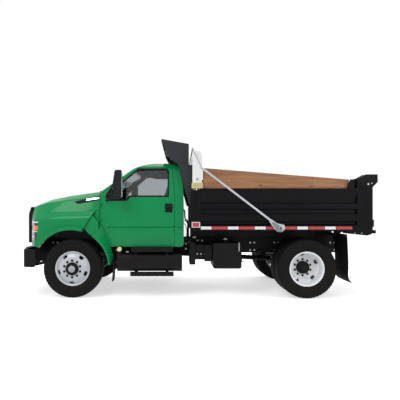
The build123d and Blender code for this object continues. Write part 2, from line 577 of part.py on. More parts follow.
def make_hood():
    """The tilting hood with its fenders, grille, lamps and vents."""
    reach = 1300.0
    outer = hood_loft(0, 850)
    shell = outer - hood_loft(HOOD_WALL, 700)
    arch = across(ARCH_X, ARCH_Z, -reach, reach, ARCH_RADIUS)
    below = plate([(-1200, 700), (-1200, 908), (-880, 908), (-800, 878), (-540, 878), (-540, 700)], -reach, reach)
    behind = plate([(600, 1507), (369, 1507), (320, 1425), (191, 1192), (100, 1030), (100, 700), (600, 700)],
                   -reach, reach)
    shell = shell - arch - below - behind
    flare_outline = ring_outline(ARCH_RADIUS, [(60, ARCH_RADIUS + 67), (150, ARCH_RADIUS + 67)], 74, 147, 10)
    flare = plate(flare_outline, 1075, FLARE_HALF) - behind
    shell = shell + flare + other_side(flare)

    lamp_region = plate([(-830, 1000), (-830, 1335), (-700, 1335), (-600, 1312), (-640, 984), (-760, 984)],
                        GRILLE_HALF + CLEARANCE, reach)
    grille_region = box(-1000, -785, -GRILLE_HALF + 80, GRILLE_HALF - 80, 985, 1500)
    lamps = []
    for flip in (False, True):
        region = other_side(lamp_region) if flip else lamp_region
        lamps.append(shell & region)
        shell = shell - region
    rail_way = box(-900, -785, -RAIL_OUTER - 12, RAIL_OUTER + 12, 700, 990)
    shell = shell - grille_region - rail_way
    vent = plate([(-26, 1659), (426, 1777), (432, 1690), (60, 1620)], 880, reach)
    vents = []
    for flip in (False, True):
        region = other_side(vent) if flip else vent
        vents.append(shell & region)
        shell = shell - region
    lug = joined(plate([(HOOD_HINGE_X - 28, HOOD_HINGE_Z), (HOOD_HINGE_X + 28, HOOD_HINGE_Z), (-792, 912),
                        (-792, GRILLE_BOTTOM - 2), (HOOD_HINGE_X - 20, GRILLE_BOTTOM - 2)], 440, 460),
                 across(HOOD_HINGE_X, HOOD_HINGE_Z, 440, 460, 28))
    lug = lug - across(HOOD_HINGE_X, HOOD_HINGE_Z, 400, 500, 12 + PIN_PLAY)
    shell = shell + lug + other_side(lug)
    parts["hood"] = shell
    parts["headlamps"] = group(lamps)
    parts["hood_vents"] = group(vents)

    nose = HOOD_SECTIONS[0][0] - SEAT_GAP
    profile = [(nose, GRILLE_BOTTOM), (-924, GRILLE_BOTTOM), (-920, 1180), (-892, 1420), (-850, 1560),
               (-834, GRILLE_TOP), (nose, GRILLE_TOP)]
    plan = [(nose + 1, -GRILLE_HALF), (-886, -GRILLE_HALF), (-917, -GRILLE_HALF + 110), (-925, -300), (-925, 300),
            (-917, GRILLE_HALF - 110), (-886, GRILLE_HALF), (nose + 1, GRILLE_HALF)]
    body = plate(profile, -GRILLE_HALF, GRILLE_HALF) & slab(plan, GRILLE_BOTTOM, GRILLE_TOP)
    opening = box(-1000, -700, -GRILLE_HALF + 90, GRILLE_HALF - 90, GRILLE_BOTTOM + 60, GRILLE_TOP - 75)
    bar_band = body - Pos(45, 0, 0) * body
    bars = []
    bar_rise = 128.0
    for number in range(4):
        z = GRILLE_BOTTOM + 95 + bar_rise * number
        bars.append(bar_band & box(-1000, -700, -GRILLE_HALF + 80, GRILLE_HALF - 80, z, z + 52))
    for y in (-470.0, -160.0, 160.0, 470.0):
        bars.append(box(nose - 26, nose, y - 14, y + 14, GRILLE_BOTTOM + 50, GRILLE_TOP - 70))
        bars.append(box(-880, nose - 20, y - 14, y + 14, GRILLE_BOTTOM + 100, GRILLE_TOP - 150))
    rail_notch = box(-874, -700, -RAIL_OUTER - 12, RAIL_OUTER + 12, 900, 980)
    parts["grille"] = joined(body - opening, *bars) - rail_notch

    post_bottom = RAIL_TOP - 110
    post = joined(box(HOOD_HINGE_X - 26, RAIL_FRONT - SEAT_GAP, 404, 424, post_bottom, HOOD_HINGE_Z),
                  across(HOOD_HINGE_X, HOOD_HINGE_Z, 404, 424, 16.5),
                  across(HOOD_HINGE_X, HOOD_HINGE_Z, 410, 464, 12))
    parts["hood_pivots"] = both(post)


def make_fender_extensions():
    """The fixed panel behind each front wheel, which carries the arch to the step."""
    full = [(angle, ARCH_RADIUS + grow) for angle, grow in ((5, 47), (14, 74), (31, 98), (45, 155), (56, 225))]
    slim = [(angle, ARCH_RADIUS + grow) for angle, grow in ((5, 17), (14, 21), (31, 27), (45, 35), (56, 45))]
    start = 5
    end = 56
    steps = 8
    base = face_xz(ring_outline(ARCH_RADIUS, full, start, end, steps))
    top = face_xz(ring_outline(ARCH_RADIUS, slim, start, end, steps))
    loft_inside = CAB_HALF + 12
    flare = loft([Pos(0, loft_inside, 0) * base, Pos(0, FLARE_HALF, 0) * top], ruled=True)
    seam_gap = CLEARANCE
    cheek = plate([(436, 1500), (372, 1500), (323 + seam_gap, 1425), (191 + 2 * seam_gap, 1192),
                   (ARCH_X + ARCH_RADIUS * math.cos(math.radians(63)),
                    ARCH_Z + ARCH_RADIUS * math.sin(math.radians(63))), (360, 1060), (436, 1000)], 960, 1008)
    upper = plate([(328, 1425), (201, 1192), (275, 1100), (345, 1056), (436, 1180), (436, 1310), (405, 1334)],
                  CAB_HALF - 30, 1110)
    lining = plate(ring_outline(ARCH_RADIUS, [(5, ARCH_RADIUS + LINING), (60, ARCH_RADIUS + LINING)], start, 62, 12),
                   700 + CLEARANCE, loft_inside + 1)
    piece = joined(flare, cheek, upper, lining)
    parts["fender_extensions"] = both(piece)


def make_side_equipment():
    """Tanks, steps, boxes, mud flaps and the exhaust."""
    tank_half = 1178.0
    tank_outline = [(650, 500), (690, 461), (tank_half - 60, 461), (tank_half, 520), (tank_half, 700),
                    (tank_half - 40, 749), (690, 749), (650, 710)]
    tank = section(tank_outline, 764, 1886)
    strap_top = 758.0
    straps = []
    for x in (1091.0, 1625.0):
        wide = 50.0
        wrap = section([(640, 492), (684, 452), (tank_half - 55, 452), (tank_half + 2, 512),
                        (tank_half + 2, 706), (tank_half - 34, strap_top), (684, strap_top), (640, 716)],
                       x - wide / 2, x + wide / 2) - tank
        arm = box(x - wide / 2, x + wide / 2, RAIL_OUTER + SEAT_GAP, 642, 716, 800)
        foot = box(x - wide / 2, x + wide / 2, RAIL_OUTER + SEAT_GAP, RAIL_OUTER + 12, 716, 940)
        shelf = box(x - wide / 2, x + wide / 2, 600, 700, 716, strap_top)
        straps.append(joined(wrap, arm, foot, shelf) - tank)
    tread = box(1013, 1726, 930, tank_half, 795, 864)
    legs = [box(x - 25, x + 25, 940, 1120, strap_top + SEAT_GAP, 796) for x in (1091.0, 1625.0)]
    hanging = joined(box(997, 1738, 960, tank_half, 382, 410), box(997, 1738, tank_half - 18, tank_half, 382, 461),
                     *[box(x - 20, x + 20, 960, 985, 400, 452 - SEAT_GAP) for x in (1091.0, 1625.0)])
    tank_pieces = {"step_tanks": tank, "tank_straps": group(straps),
                   "tank_steps": group([joined(tread, *legs), hanging])}
    for name, shape in tank_pieces.items():
        parts[name] = group(list(shape.solids()) + list(other_side(shape).solids()))

    rail_face = RAIL_OUTER + SEAT_GAP
    box_front = 2015.0
    box_rear = box_front + 395
    oil_front = box_rear + 9
    oil_length = (WHEELBASE - TYRE_RADIUS - box_rear) * 0.45
    oil = box(oil_front, oil_front + oil_length, -1100, -560, 500, 940)
    oil = fillet(oil.edges().filter_by(Axis.Y), 40)
    oil_middle = oil_front + oil_length / 2
    oil_arms = [box(oil_middle + end * oil_length * 0.3 - 40, oil_middle + end * oil_length * 0.3 + 40,
                    -600, -rail_face, 760, 900) for end in (-1, 1)]
    oil = joined(oil, *oil_arms, Pos(oil_middle, -830, 958) * Cylinder(60, 60))
    boxes = joined(box(box_front, box_front + 103, -1000, -rail_face, 557, 940),
                   box(box_front + 103, box_front + 265, -960, -560, 642, 900),
                   box(box_front + 265, box_rear, -1020, -560, 616, 900))
    parts["hydraulic_tank"] = group([oil, boxes])

    muffler_front = 2050.0
    muffler_length = (WHEELBASE - TYRE_RADIUS - muffler_front) * 0.515
    muffler_rear = muffler_front + muffler_length
    tail_rear = muffler_rear + 360
    hangers = [box(muffler_front + share * muffler_length - 25, muffler_front + share * muffler_length + 25,
                   rail_face, 700, 735, 790) for share in (0.17, 0.83)]
    muffler = joined(rod((muffler_front, 700, 650), (muffler_rear, 700, 650), 130),
                     rod((muffler_front - 90, 700, 650), (muffler_front, 700, 650), 50),
                     rod((muffler_rear, 700, 650), (tail_rear, 700, 650), 50), *hangers)
    parts["exhaust"] = muffler
    flaps = []
    for x, thick, bottom, top, inner, outer in ((690.0, 12.0, 269.0, 640.0, 900.0, 1150.0),
                                                (WHEELBASE + TYRE_RADIUS + 172, 12.0, 283.0, 1070.0, 640.0,
                                                 REAR_OUTER_HALF + TYRE_WIDTH / 2 - 5)):
        sheet_flap = box(x, x + thick, inner, outer, bottom, top)
        hanger = box(x + thick - 1, x + thick + 40, rail_face, outer, top - 60, top - 10)
        if x < WHEELBASE / 2:
            hanger = box(x + thick - 1, 764 - SEAT_GAP, inner, outer, 600, 630)
        flaps.append(joined(sheet_flap, hanger))
        flaps.append(other_side(flaps[-1]))
    parts["mud_flaps"] = group(flaps)


def make_body():
    """The dump body: floor, ribbed sides, posts, bulkhead with its shield, boards and tarp gear."""
    plank = FLOOR_TOP - FLOOR_PLATE
    floor = box(BODY_FRONT + 42 + SEAT_GAP, BODY_REAR - 61, -BODY_INSIDE, BODY_INSIDE, plank, FLOOR_TOP)
    cross = [box(x, x + 60, -BODY_INSIDE, BODY_INSIDE, 1128, plank)
             for x in range(round(BODY_FRONT) + 67, round(BODY_REAR) - 110, 290)]
    sill_inner = RAIL_OUTER - RAIL_FLANGE
    sill_bottom = SUBFRAME_TOP + SEAT_GAP
    sills = [box(BODY_FRONT + 27, TIP_X - 115, side * sill_inner if side > 0 else -RAIL_OUTER,
                 RAIL_OUTER if side > 0 else -sill_inner, sill_bottom, 1128.5) for side in (-1, 1)]
    tip_in = RAIL_OUTER - 100
    tip_out = RAIL_OUTER
    hinge_ears = []
    for y0, y1 in ((tip_in, RAIL_OUTER - 70 - CLEARANCE), (RAIL_OUTER - 40 + CLEARANCE, tip_out)):
        hinge_ears.append(joined(plate([(TIP_X - 60, 1130), (TIP_X - 20, TIP_Z), (TIP_X + 20, TIP_Z),
                                        (TIP_X + 90, 1130), (TIP_X + 90, plank + 1), (TIP_X - 60, plank + 1)],
                                       y0, y1),
                                 across(TIP_X, TIP_Z, y0, y1, 30)))
    hinge_ears.append(across(TIP_X, TIP_Z, tip_in, tip_out, TIP_PIN))
    hinge = joined(*hinge_ears)
    cheek_in = HOIST_ROD_RADIUS + CLEARANCE
    cheek = joined(plate([(HOIST_PIN_X - 45, HOIST_PIN_Z - 40), (HOIST_PIN_X + 45, HOIST_PIN_Z - 40),
                          (HOIST_PIN_X + 240, 1129), (HOIST_PIN_X - 120, 1129)], cheek_in, cheek_in + 16),
                   across(HOIST_PIN_X, HOIST_PIN_Z, cheek_in, cheek_in + 34, HOIST_PIN_RADIUS))
    apron = joined(box(BODY_REAR - 62, TAIL, -BODY_INSIDE, BODY_INSIDE, 1107, 1163),
                   box(BODY_REAR - 62, BODY_REAR + 4, -BODY_INSIDE, BODY_INSIDE, 1160, FLOOR_TOP))
    floor = joined(floor, *cross, *sills, hinge, other_side(hinge), apron, cheek, other_side(cheek))
    parts["bed_floor"] = floor

    base = BODY_HALF - 45
    rib = BODY_HALF - 4
    side_profile = [(BODY_INSIDE, BODY_BOTTOM), (BODY_HALF, BODY_BOTTOM), (BODY_HALF, 1250), (base, 1272),
                    (base, 1309), (rib, 1322), (rib, 1437), (base, 1450), (base, 1520), (rib, 1532), (rib, 1620),
                    (base, 1634), (base, 1699), (BODY_HALF, 1801), (BODY_HALF, BODY_TOP), (BODY_INSIDE, BODY_TOP)]
    side = section(side_profile, FRONT_POST_REAR, REAR_POST_FRONT)
    front_post = box(BODY_FRONT, FRONT_POST_REAR, BODY_INSIDE, BODY_HALF, BODY_BOTTOM, 1852)
    rear_post = plate([(REAR_POST_FRONT - 185, BODY_BOTTOM), (REAR_POST_FRONT - 185, 1116),
                       (BODY_REAR - 93, 1079), (BODY_REAR - 23, 1102), (BODY_REAR, BODY_BOTTOM),
                       (BODY_REAR, 2050), (REAR_POST_FRONT, 2050), (REAR_POST_FRONT, BODY_BOTTOM)],
                      BODY_INSIDE, BODY_HALF)
    gusset = plate([(REAR_POST_FRONT + 1, BODY_TOP - 1), (REAR_POST_FRONT - 164, BODY_TOP - 1),
                    (REAR_POST_FRONT - 95, 2038), (REAR_POST_FRONT + 1, 2038)], BODY_HALF - 60, BODY_HALF - 48)
    ear_outline = [(REAR_POST_FRONT + 34, 1950), (REAR_POST_FRONT + 34, 2056), (GATE_X - 150, GATE_Z + 78),
                   (GATE_X + 52, GATE_Z + 78), (GATE_X + 52, GATE_Z - 54), (BODY_REAR, 1900)]
    ear = plate(ear_outline, BODY_INSIDE, BODY_INSIDE + 40)
    ear = ear - across(GATE_X, GATE_Z, 0, BODY_HALF, GATE_PIN + PIN_PLAY)
    outer_ear = plate(ear_outline, BODY_HALF - 30, BODY_HALF)
    hook = plate([(BODY_REAR - 1, 1211), (BODY_REAR + 36, 1230), (BODY_REAR + 36, 1340), (BODY_REAR - 1, 1367)],
                 BODY_HALF - 70, BODY_HALF - 30)
    boss = joined(across(TARP_X, TARP_Z, BODY_HALF - 10, BODY_HALF + TARP_BOSS, 34),
                  across(TARP_X, TARP_Z, BODY_HALF - 10, ARM_HALF + 12, TARP_PIN))
    side = joined(side, front_post, rear_post, gusset, ear, outer_ear, hook, boss)
    parts["bed_side_right"] = side
    parts["bed_side_left"] = other_side(side)

    inside = BODY_INSIDE
    bulkhead_top = 2288.0
    sheet = BODY_FRONT + 30
    bulkhead = box(sheet, sheet + 12, -inside, inside, BODY_BOTTOM, bulkhead_top)
    stiffeners = [box(BODY_FRONT, sheet + 1, y - 40, y + 40, BODY_BOTTOM, bulkhead_top) for y in (-700, 0, 700)]
    header = box(BODY_FRONT, sheet + 1, -inside + SHIELD_PLATE + 1, inside - SHIELD_PLATE - 1, bulkhead_top - 60,
                 bulkhead_top)
    edges = [box(BODY_FRONT, sheet + 1, side * (inside - 20) - 20, side * (inside - 20) + 20, BODY_BOTTOM, 1600)
             for side in (-1, 1)]
    parts["bulkhead"] = joined(bulkhead, *stiffeners, header, *edges)
    shield_rear = BODY_FRONT - 31
    seat = bulkhead_top + SEAT_GAP
    shield_plate = [(1526, 2748), (shield_rear, 2662), (shield_rear, seat), (sheet - SEAT_GAP, seat),
                    (sheet - SEAT_GAP, 1616), (2000, 1616), (1930, 1866), (1885, 2050), (1862, 2140), (1820, 2300),
                    (1700, 2385), (1690, 2372), (1532, 2700), (1526, 2700)]
    wing = plate(shield_plate, SHIELD_HALF - SHIELD_PLATE, SHIELD_HALF)
    roof = plate([(1526, 2748), (1526, 2740), (shield_rear - 8, 2655), (shield_rear - 8, seat), (sheet + 12, seat),
                  (sheet + 12, seat + 8), (shield_rear, seat + 8), (shield_rear, 2662)], -SHIELD_HALF, SHIELD_HALF)
    lip = plate([(1526, 2748), (1526, 2700), (1534, 2700), (1534, 2746)], -SHIELD_HALF, SHIELD_HALF)
    ribs = [plate([(1570, 2741), (1570, 2700), (shield_rear - 1, 2600), (shield_rear - 1, 2660)], y - 4, y + 4)
            for y in (-400, 400)]
    parts["cab_shield"] = joined(roof, lip, wing, other_side(wing), *ribs)

    board_front = FRONT_POST_REAR + 49
    board_rear = REAR_POST_FRONT - 95
    board = plate([(board_front, BODY_TOP + SEAT_GAP), (board_rear, BODY_TOP + SEAT_GAP), (board_rear, 2039),
                   (board_front, 2237)],
                  BOARD_HALF - BOARD_THICKNESS, BOARD_HALF)
    parts["side_boards"] = both(board)

    tower_out = BODY_HALF - 50
    block = box(2048, 2238, tower_out - 70, tower_out + 30, BODY_TOP + SEAT_GAP, 1976)
    tower = plate([(2061, 1970), (2222, 1970), (2222, 2460), (2190, 2519), (2061, 2519)],
                  tower_out - 20, tower_out)
    tower = joined(block, tower)
    drum_half = tower_out - 20 - SEAT_GAP
    drum = across(2145, 2380, -drum_half, drum_half, 62)
    deflector = plate([(2066, 2455), (2072, 2455), (2126, 2515), (2120, 2515)], -tower_out + 19, tower_out - 19)
    parts["tarp_towers"] = joined(tower, other_side(tower), deflector)
    parts["tarp_roll"] = drum

    gate_front = BODY_REAR - 52
    gate_half = BODY_INSIDE - CLEARANCE
    skin = box(gate_front, gate_front + 8, -gate_half, gate_half, FLOOR_TOP + CLEARANCE, 1881)
    bars = [box(gate_front, BODY_REAR - 4, -gate_half, gate_half, z, z + 90) for z in (FLOOR_TOP + CLEARANCE, 1791)]
    studs = [box(gate_front, BODY_REAR - 4, y - 45, y + 45, FLOOR_TOP + CLEARANCE, 1881)
             for y in (-gate_half + 45, -530, 0, 530, gate_half - 45)]
    arm = plate([(gate_front, 1791), (gate_front + 48, 1791), (GATE_X + 26, GATE_Z), (GATE_X - 26, GATE_Z + 20),
                 (gate_front, 1900)], gate_half - 45, gate_half - 10)
    arm = joined(arm, across(GATE_X, GATE_Z, gate_half - 45, gate_half - 10, 32),
                 across(GATE_X, GATE_Z, gate_half - 45, BODY_INSIDE + 42, GATE_PIN))
    parts["tailgate"] = joined(skin, *bars, *studs, arm, other_side(arm))


def make_tarp_frame():
    """Both side arms with their spring packs, and the bow that joins them over the body."""
    y = ARM_HALF
    paddle = plate([(TARP_X - 195, 1330), (TARP_X - 165, 1362), (TARP_X - 60, 1290), (TARP_X + 60, 1262),
                    (TARP_X + 76, 1200), (TARP_X + 30, 1150), (TARP_X - 50, 1150), (TARP_X - 110, 1200)],
                   y - 26, y + 8)
    pivot = across(TARP_X, TARP_Z, BODY_HALF + TARP_BOSS + SEAT_GAP, y, 34)
    knee = (2221.0, y, 2212.0)
    top = (2077.0, y, 2507.0)
    tube = rod((TARP_X - 170, y, 1340), knee, ARM_RADIUS)
    upper = rod(knee, top, BOW_RADIUS)
    end = rod(top, (2063, y, 2553), BOW_RADIUS)
    arm = joined(paddle, pivot, tube, Pos(*knee) * Sphere(ARM_RADIUS), upper, Pos(*top) * Sphere(BOW_RADIUS), end)
    arm = arm - across(TARP_X, TARP_Z, BODY_HALF, BODY_HALF + 200, TARP_PIN + PIN_PLAY)
    bow = across(2063, 2553, -y, y, BOW_RADIUS)
    parts["tarp_frame"] = joined(arm, other_side(arm), bow, Pos(2063, y, 2553) * Sphere(BOW_RADIUS),
                                 Pos(2063, -y, 2553) * Sphere(BOW_RADIUS))


def make_hoist():
    """The lift cylinder under the body: a barrel on the frame and a rod to the body."""
    base = Vector(HOIST_BASE_X, 0, HOIST_BASE_Z)
    head = Vector(HOIST_PIN_X, 0, HOIST_PIN_Z)
    run = (head - base).normalized()
    barrel_end = base + run * ((head - base).length - 155)
    start = base + run * 20
    barrel = rod(tuple(start), tuple(barrel_end), 85)
    eye = across(base.X, base.Z, -50, 50, 60)
    trunnion = across(base.X, base.Z, -HOIST_TRUNNION, HOIST_TRUNNION, 30)
    bore = rod(tuple(base + run * 400), tuple(head), HOIST_ROD_RADIUS + PIN_PLAY)
    parts["hoist_barrel"] = joined(barrel - bore, eye, trunnion)
    eye_half = HOIST_ROD_RADIUS
    eye_rod = across(head.X, head.Z, -eye_half, eye_half, 52)
    shaft = rod(tuple(base + run * 410), tuple(head - run * 45), HOIST_ROD_RADIUS)
    pin_bore = across(head.X, head.Z, -eye_half - 5, eye_half + 5, HOIST_PIN_RADIUS + 0.5)
    parts["hoist_rod"] = joined(shaft, eye_rod) - pin_bore
    hanger = plate([(HOIST_BASE_X - 60, HOIST_BASE_Z), (HOIST_BASE_X - 40, HOIST_BASE_Z - 70),
                    (HOIST_BASE_X + 60, HOIST_BASE_Z - 70), (HOIST_BASE_X + 80, HOIST_BASE_Z + 60),
                    (HOIST_BASE_X - 60, HOIST_BASE_Z + 60)], HOIST_TRUNNION - 30, RAIL_OUTER - RAIL_FLANGE - 1)
    hanger = joined(hanger, box(HOIST_BASE_X - 60, HOIST_BASE_X + 80, RAIL_OUTER - RAIL_FLANGE - 2,
                                RAIL_OUTER - RAIL_THICKNESS - SEAT_GAP, HOIST_BASE_Z - 20, HOIST_BASE_Z + 60))
    hanger = hanger - across(HOIST_BASE_X, HOIST_BASE_Z, 0, 400, 30 + PIN_PLAY)
    parts["hoist_brackets"] = both(hanger)


make_wheels()
make_axles()
make_frame()
make_bumper()
make_cab()
make_cab_inside()
make_hood()
make_fender_extensions()
make_side_equipment()
make_body()
make_tarp_frame()
make_hoist()

os.makedirs("parts", exist_ok=True)
for name, shape in parts.items():
    export_step(Pos(-MIDDLE, 0, 0) * shape, "parts/" + name + ".step")
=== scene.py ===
"""The dump truck's looks: finishes, tyres, glass, lamps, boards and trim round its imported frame.

Sizes are in millimetres and X is measured from the front axle towards the tail, as on the real
truck. place() turns them into the frame's metres. The truck's left side is -Y.
"""
import json
import math

import bmesh
import bpy
from mathutils import Matrix, Vector
from mathutils.bvhtree import BVHTree


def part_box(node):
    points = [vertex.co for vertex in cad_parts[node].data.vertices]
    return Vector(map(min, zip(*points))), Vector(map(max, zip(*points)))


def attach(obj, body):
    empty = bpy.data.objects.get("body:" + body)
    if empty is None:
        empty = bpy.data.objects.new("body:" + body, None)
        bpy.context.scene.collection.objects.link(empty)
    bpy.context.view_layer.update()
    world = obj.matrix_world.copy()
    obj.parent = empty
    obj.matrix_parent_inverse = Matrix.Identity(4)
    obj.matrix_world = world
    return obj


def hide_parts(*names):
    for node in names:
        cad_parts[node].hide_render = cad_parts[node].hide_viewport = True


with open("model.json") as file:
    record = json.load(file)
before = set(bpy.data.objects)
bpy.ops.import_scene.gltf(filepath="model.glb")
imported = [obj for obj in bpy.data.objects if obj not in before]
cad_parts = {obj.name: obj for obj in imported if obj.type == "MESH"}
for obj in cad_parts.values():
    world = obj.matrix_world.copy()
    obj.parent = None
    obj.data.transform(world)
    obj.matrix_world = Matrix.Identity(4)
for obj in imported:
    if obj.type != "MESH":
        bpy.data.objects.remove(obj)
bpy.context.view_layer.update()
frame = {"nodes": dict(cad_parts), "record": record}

MM = 0.001
MIDDLE = 2120.0
WHEELBASE = 4013.0
TYRE_RADIUS = 505.0
TYRE_WIDTH = 276.0
FRONT_TRACK_HALF = 1016.0
DUAL_SPACING = 310.0
BODY_HALF = 1220.0
REAR_OUTER_HALF = BODY_HALF - TYRE_WIDTH / 2
REAR_INNER_HALF = REAR_OUTER_HALF - DUAL_SPACING
DUAL_MIDDLE = REAR_OUTER_HALF - DUAL_SPACING / 2
# The skins end at TAPE_FRONT, so that the tape on the tail stays inside the CAD's length.
TAPE_FRONT = 5248.8
TAPE_REAR = 5250.0
BEVEL_ANGLE = math.radians(30.0)
FLAT_ANGLE = math.radians(0.6)
MERGE_DISTANCE = 0.00005
INWARD_SHARE = 0.12
SIDES = (("left", -1), ("right", 1))


def place(x, y, z):
    """A point in millimetres from the front axle, as the frame's metres."""
    return Vector(((x - MIDDLE) * MM, y * MM, z * MM))


def linear(red, green, blue):
    """A colour from its usual 0-255 values, as the shader's linear values."""
    values = []
    for value in (red, green, blue):
        share = value / 255
        values.append(share / 12.92 if share <= 0.04045 else ((share + 0.055) / 1.055) ** 2.4)
    return (*values, 1.0)


def shade(color, factor):
    """A colour made lighter or darker."""
    return (*(min(1, channel * factor) for channel in color[:3]), 1.0)


def node_output(tree, kind, output, inputs=None, **settings):
    """A new shader node's named output: its inputs take plain values or other nodes' outputs."""
    node = tree.nodes.new("ShaderNode" + kind)
    for name, value in settings.items():
        setattr(node, name, value)
    for name, value in (inputs or {}).items():
        if isinstance(value, bpy.types.NodeSocket):
            tree.links.new(value, node.inputs[name])
        else:
            node.inputs[name].default_value = value
    return node.outputs[output]


def calculated(tree, operation, first, second):
    """The result of an arithmetic operation on two values."""
    return node_output(tree, "Math", "Value", {0: first, 1: second}, operation=operation)


def map_range(tree, value, to_low, to_high, low=0.0, high=1.0):
    """A value between two limits, spread between two others."""
    return node_output(tree, "MapRange", "Result", {"Value": value, "From Min": low, "From Max": high,
                                                    "To Min": to_low, "To Max": to_high})


def color_ramp(tree, value, low, low_color, high, high_color):
    """A blend from one colour to another between two values."""
    color = node_output(tree, "ValToRGB", "Color", {"Fac": value})
    first, last = color.node.color_ramp.elements
    first.position = low
    first.color = low_color
    last.position = high
    last.color = high_color
    return color


DUST = linear(150, 140, 122)
DUST_HEIGHT = 1.3
RELIEF_DEPTH = 0.004


def material(name, color, rough, spread, scale=3.0, grain=40.0, bump=0.02, metal=0.0, coat=0.0, dust=0.0,
             rough_spread=0.08, transmission=0.0, stretch=(1, 1, 1), sheen=0.0, specular=0.5):
    """A finish with uneven colour, uneven gloss, fine bump and, low down, some road dust."""
    made = bpy.data.materials.new(name)
    made.use_nodes = True
    tree = made.node_tree
    shader = tree.nodes["Principled BSDF"].inputs
    for socket, value in (("Metallic", metal), ("Specular IOR Level", specular), ("Coat Weight", coat),
                          ("Coat Roughness", 0.04), ("Transmission Weight", transmission),
                          ("Sheen Weight", sheen)):
        shader[socket].default_value = value
    where = node_output(tree, "TexCoord", "Object")
    place_on = node_output(tree, "Mapping", "Vector", {"Scale": stretch, "Vector": where})

    def pattern(size, detail):
        return node_output(tree, "TexNoise", "Fac", {"Scale": size, "Detail": detail, "Vector": place_on})

    base = color_ramp(tree, pattern(scale, 5), 0.3, shade(color, 1 - spread), 0.7, shade(color, 1 + spread))
    if dust:
        height = node_output(tree, "SeparateXYZ", "Z", {"Vector": where})
        fading = map_range(tree, height, dust, 0.0, high=DUST_HEIGHT)
        amount = calculated(tree, "MULTIPLY", fading, pattern(scale * 3, 8))
        base = node_output(tree, "Mix", "Result", {"Factor": amount, "A": base, "B": DUST}, data_type="RGBA")
    tree.links.new(base, shader["Base Color"])
    gloss = map_range(tree, pattern(scale * 4, 6), max(0.02, rough - rough_spread),
                      min(1.0, rough + rough_spread))
    tree.links.new(gloss, shader["Roughness"])
    if bump:
        relief = node_output(tree, "Bump", "Normal", {"Strength": bump, "Distance": RELIEF_DEPTH,
                                                      "Height": pattern(grain, 3)})
        tree.links.new(relief, shader["Normal"])
    return made


def wood_material(name, color):
    """Weathered sawn boards: long grain and knots, with painted shade making the top darker and painted light
    making the bottom lighter.
    """
    low, high = (corner[2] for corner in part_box("side_boards"))
    made = material(name, color, rough=0.75, spread=0.18, scale=2.2, grain=90, bump=0.25, stretch=(1, 1, 12))
    tree = made.node_tree
    surface = tree.nodes["Principled BSDF"].inputs["Base Color"]
    where = node_output(tree, "TexCoord", "Object")

    def stretched(scale):
        return node_output(tree, "Mapping", "Vector", {"Scale": scale, "Vector": where})

    def multiplied(factor, first, second):
        return node_output(tree, "Mix", "Result", {"Factor": factor, "A": first, "B": second},
                           data_type="RGBA", blend_type="MULTIPLY")

    rings = node_output(tree, "TexNoise", "Fac", {"Scale": 3.0, "Detail": 9, "Distortion": 0.8,
                                                  "Vector": stretched((0.7, 3.0, 22.0))})
    grain = color_ramp(tree, rings, 0.36, (0.42, 0.42, 0.42, 1), 0.62, (1, 1, 1, 1))
    grained = multiplied(0.6, surface.links[0].from_socket, grain)
    spots = node_output(tree, "TexVoronoi", "Distance", {"Scale": 2.6, "Vector": stretched((1.0, 1.0, 2.4))})
    knots = map_range(tree, spots, 0.36, 1.0, 0.04, 0.15)
    # Painted shade and painted light: a height ramp darkens the boards towards the top and lightens them
    # towards the bottom, against the lamps' light from above.
    height = node_output(tree, "SeparateXYZ", "Z", {"Vector": where})
    amount = calculated(tree, "MULTIPLY", map_range(tree, height, 1.3, 0.66, low, high), knots)
    tree.links.new(multiplied(1.0, grained, amount), surface)
    return made


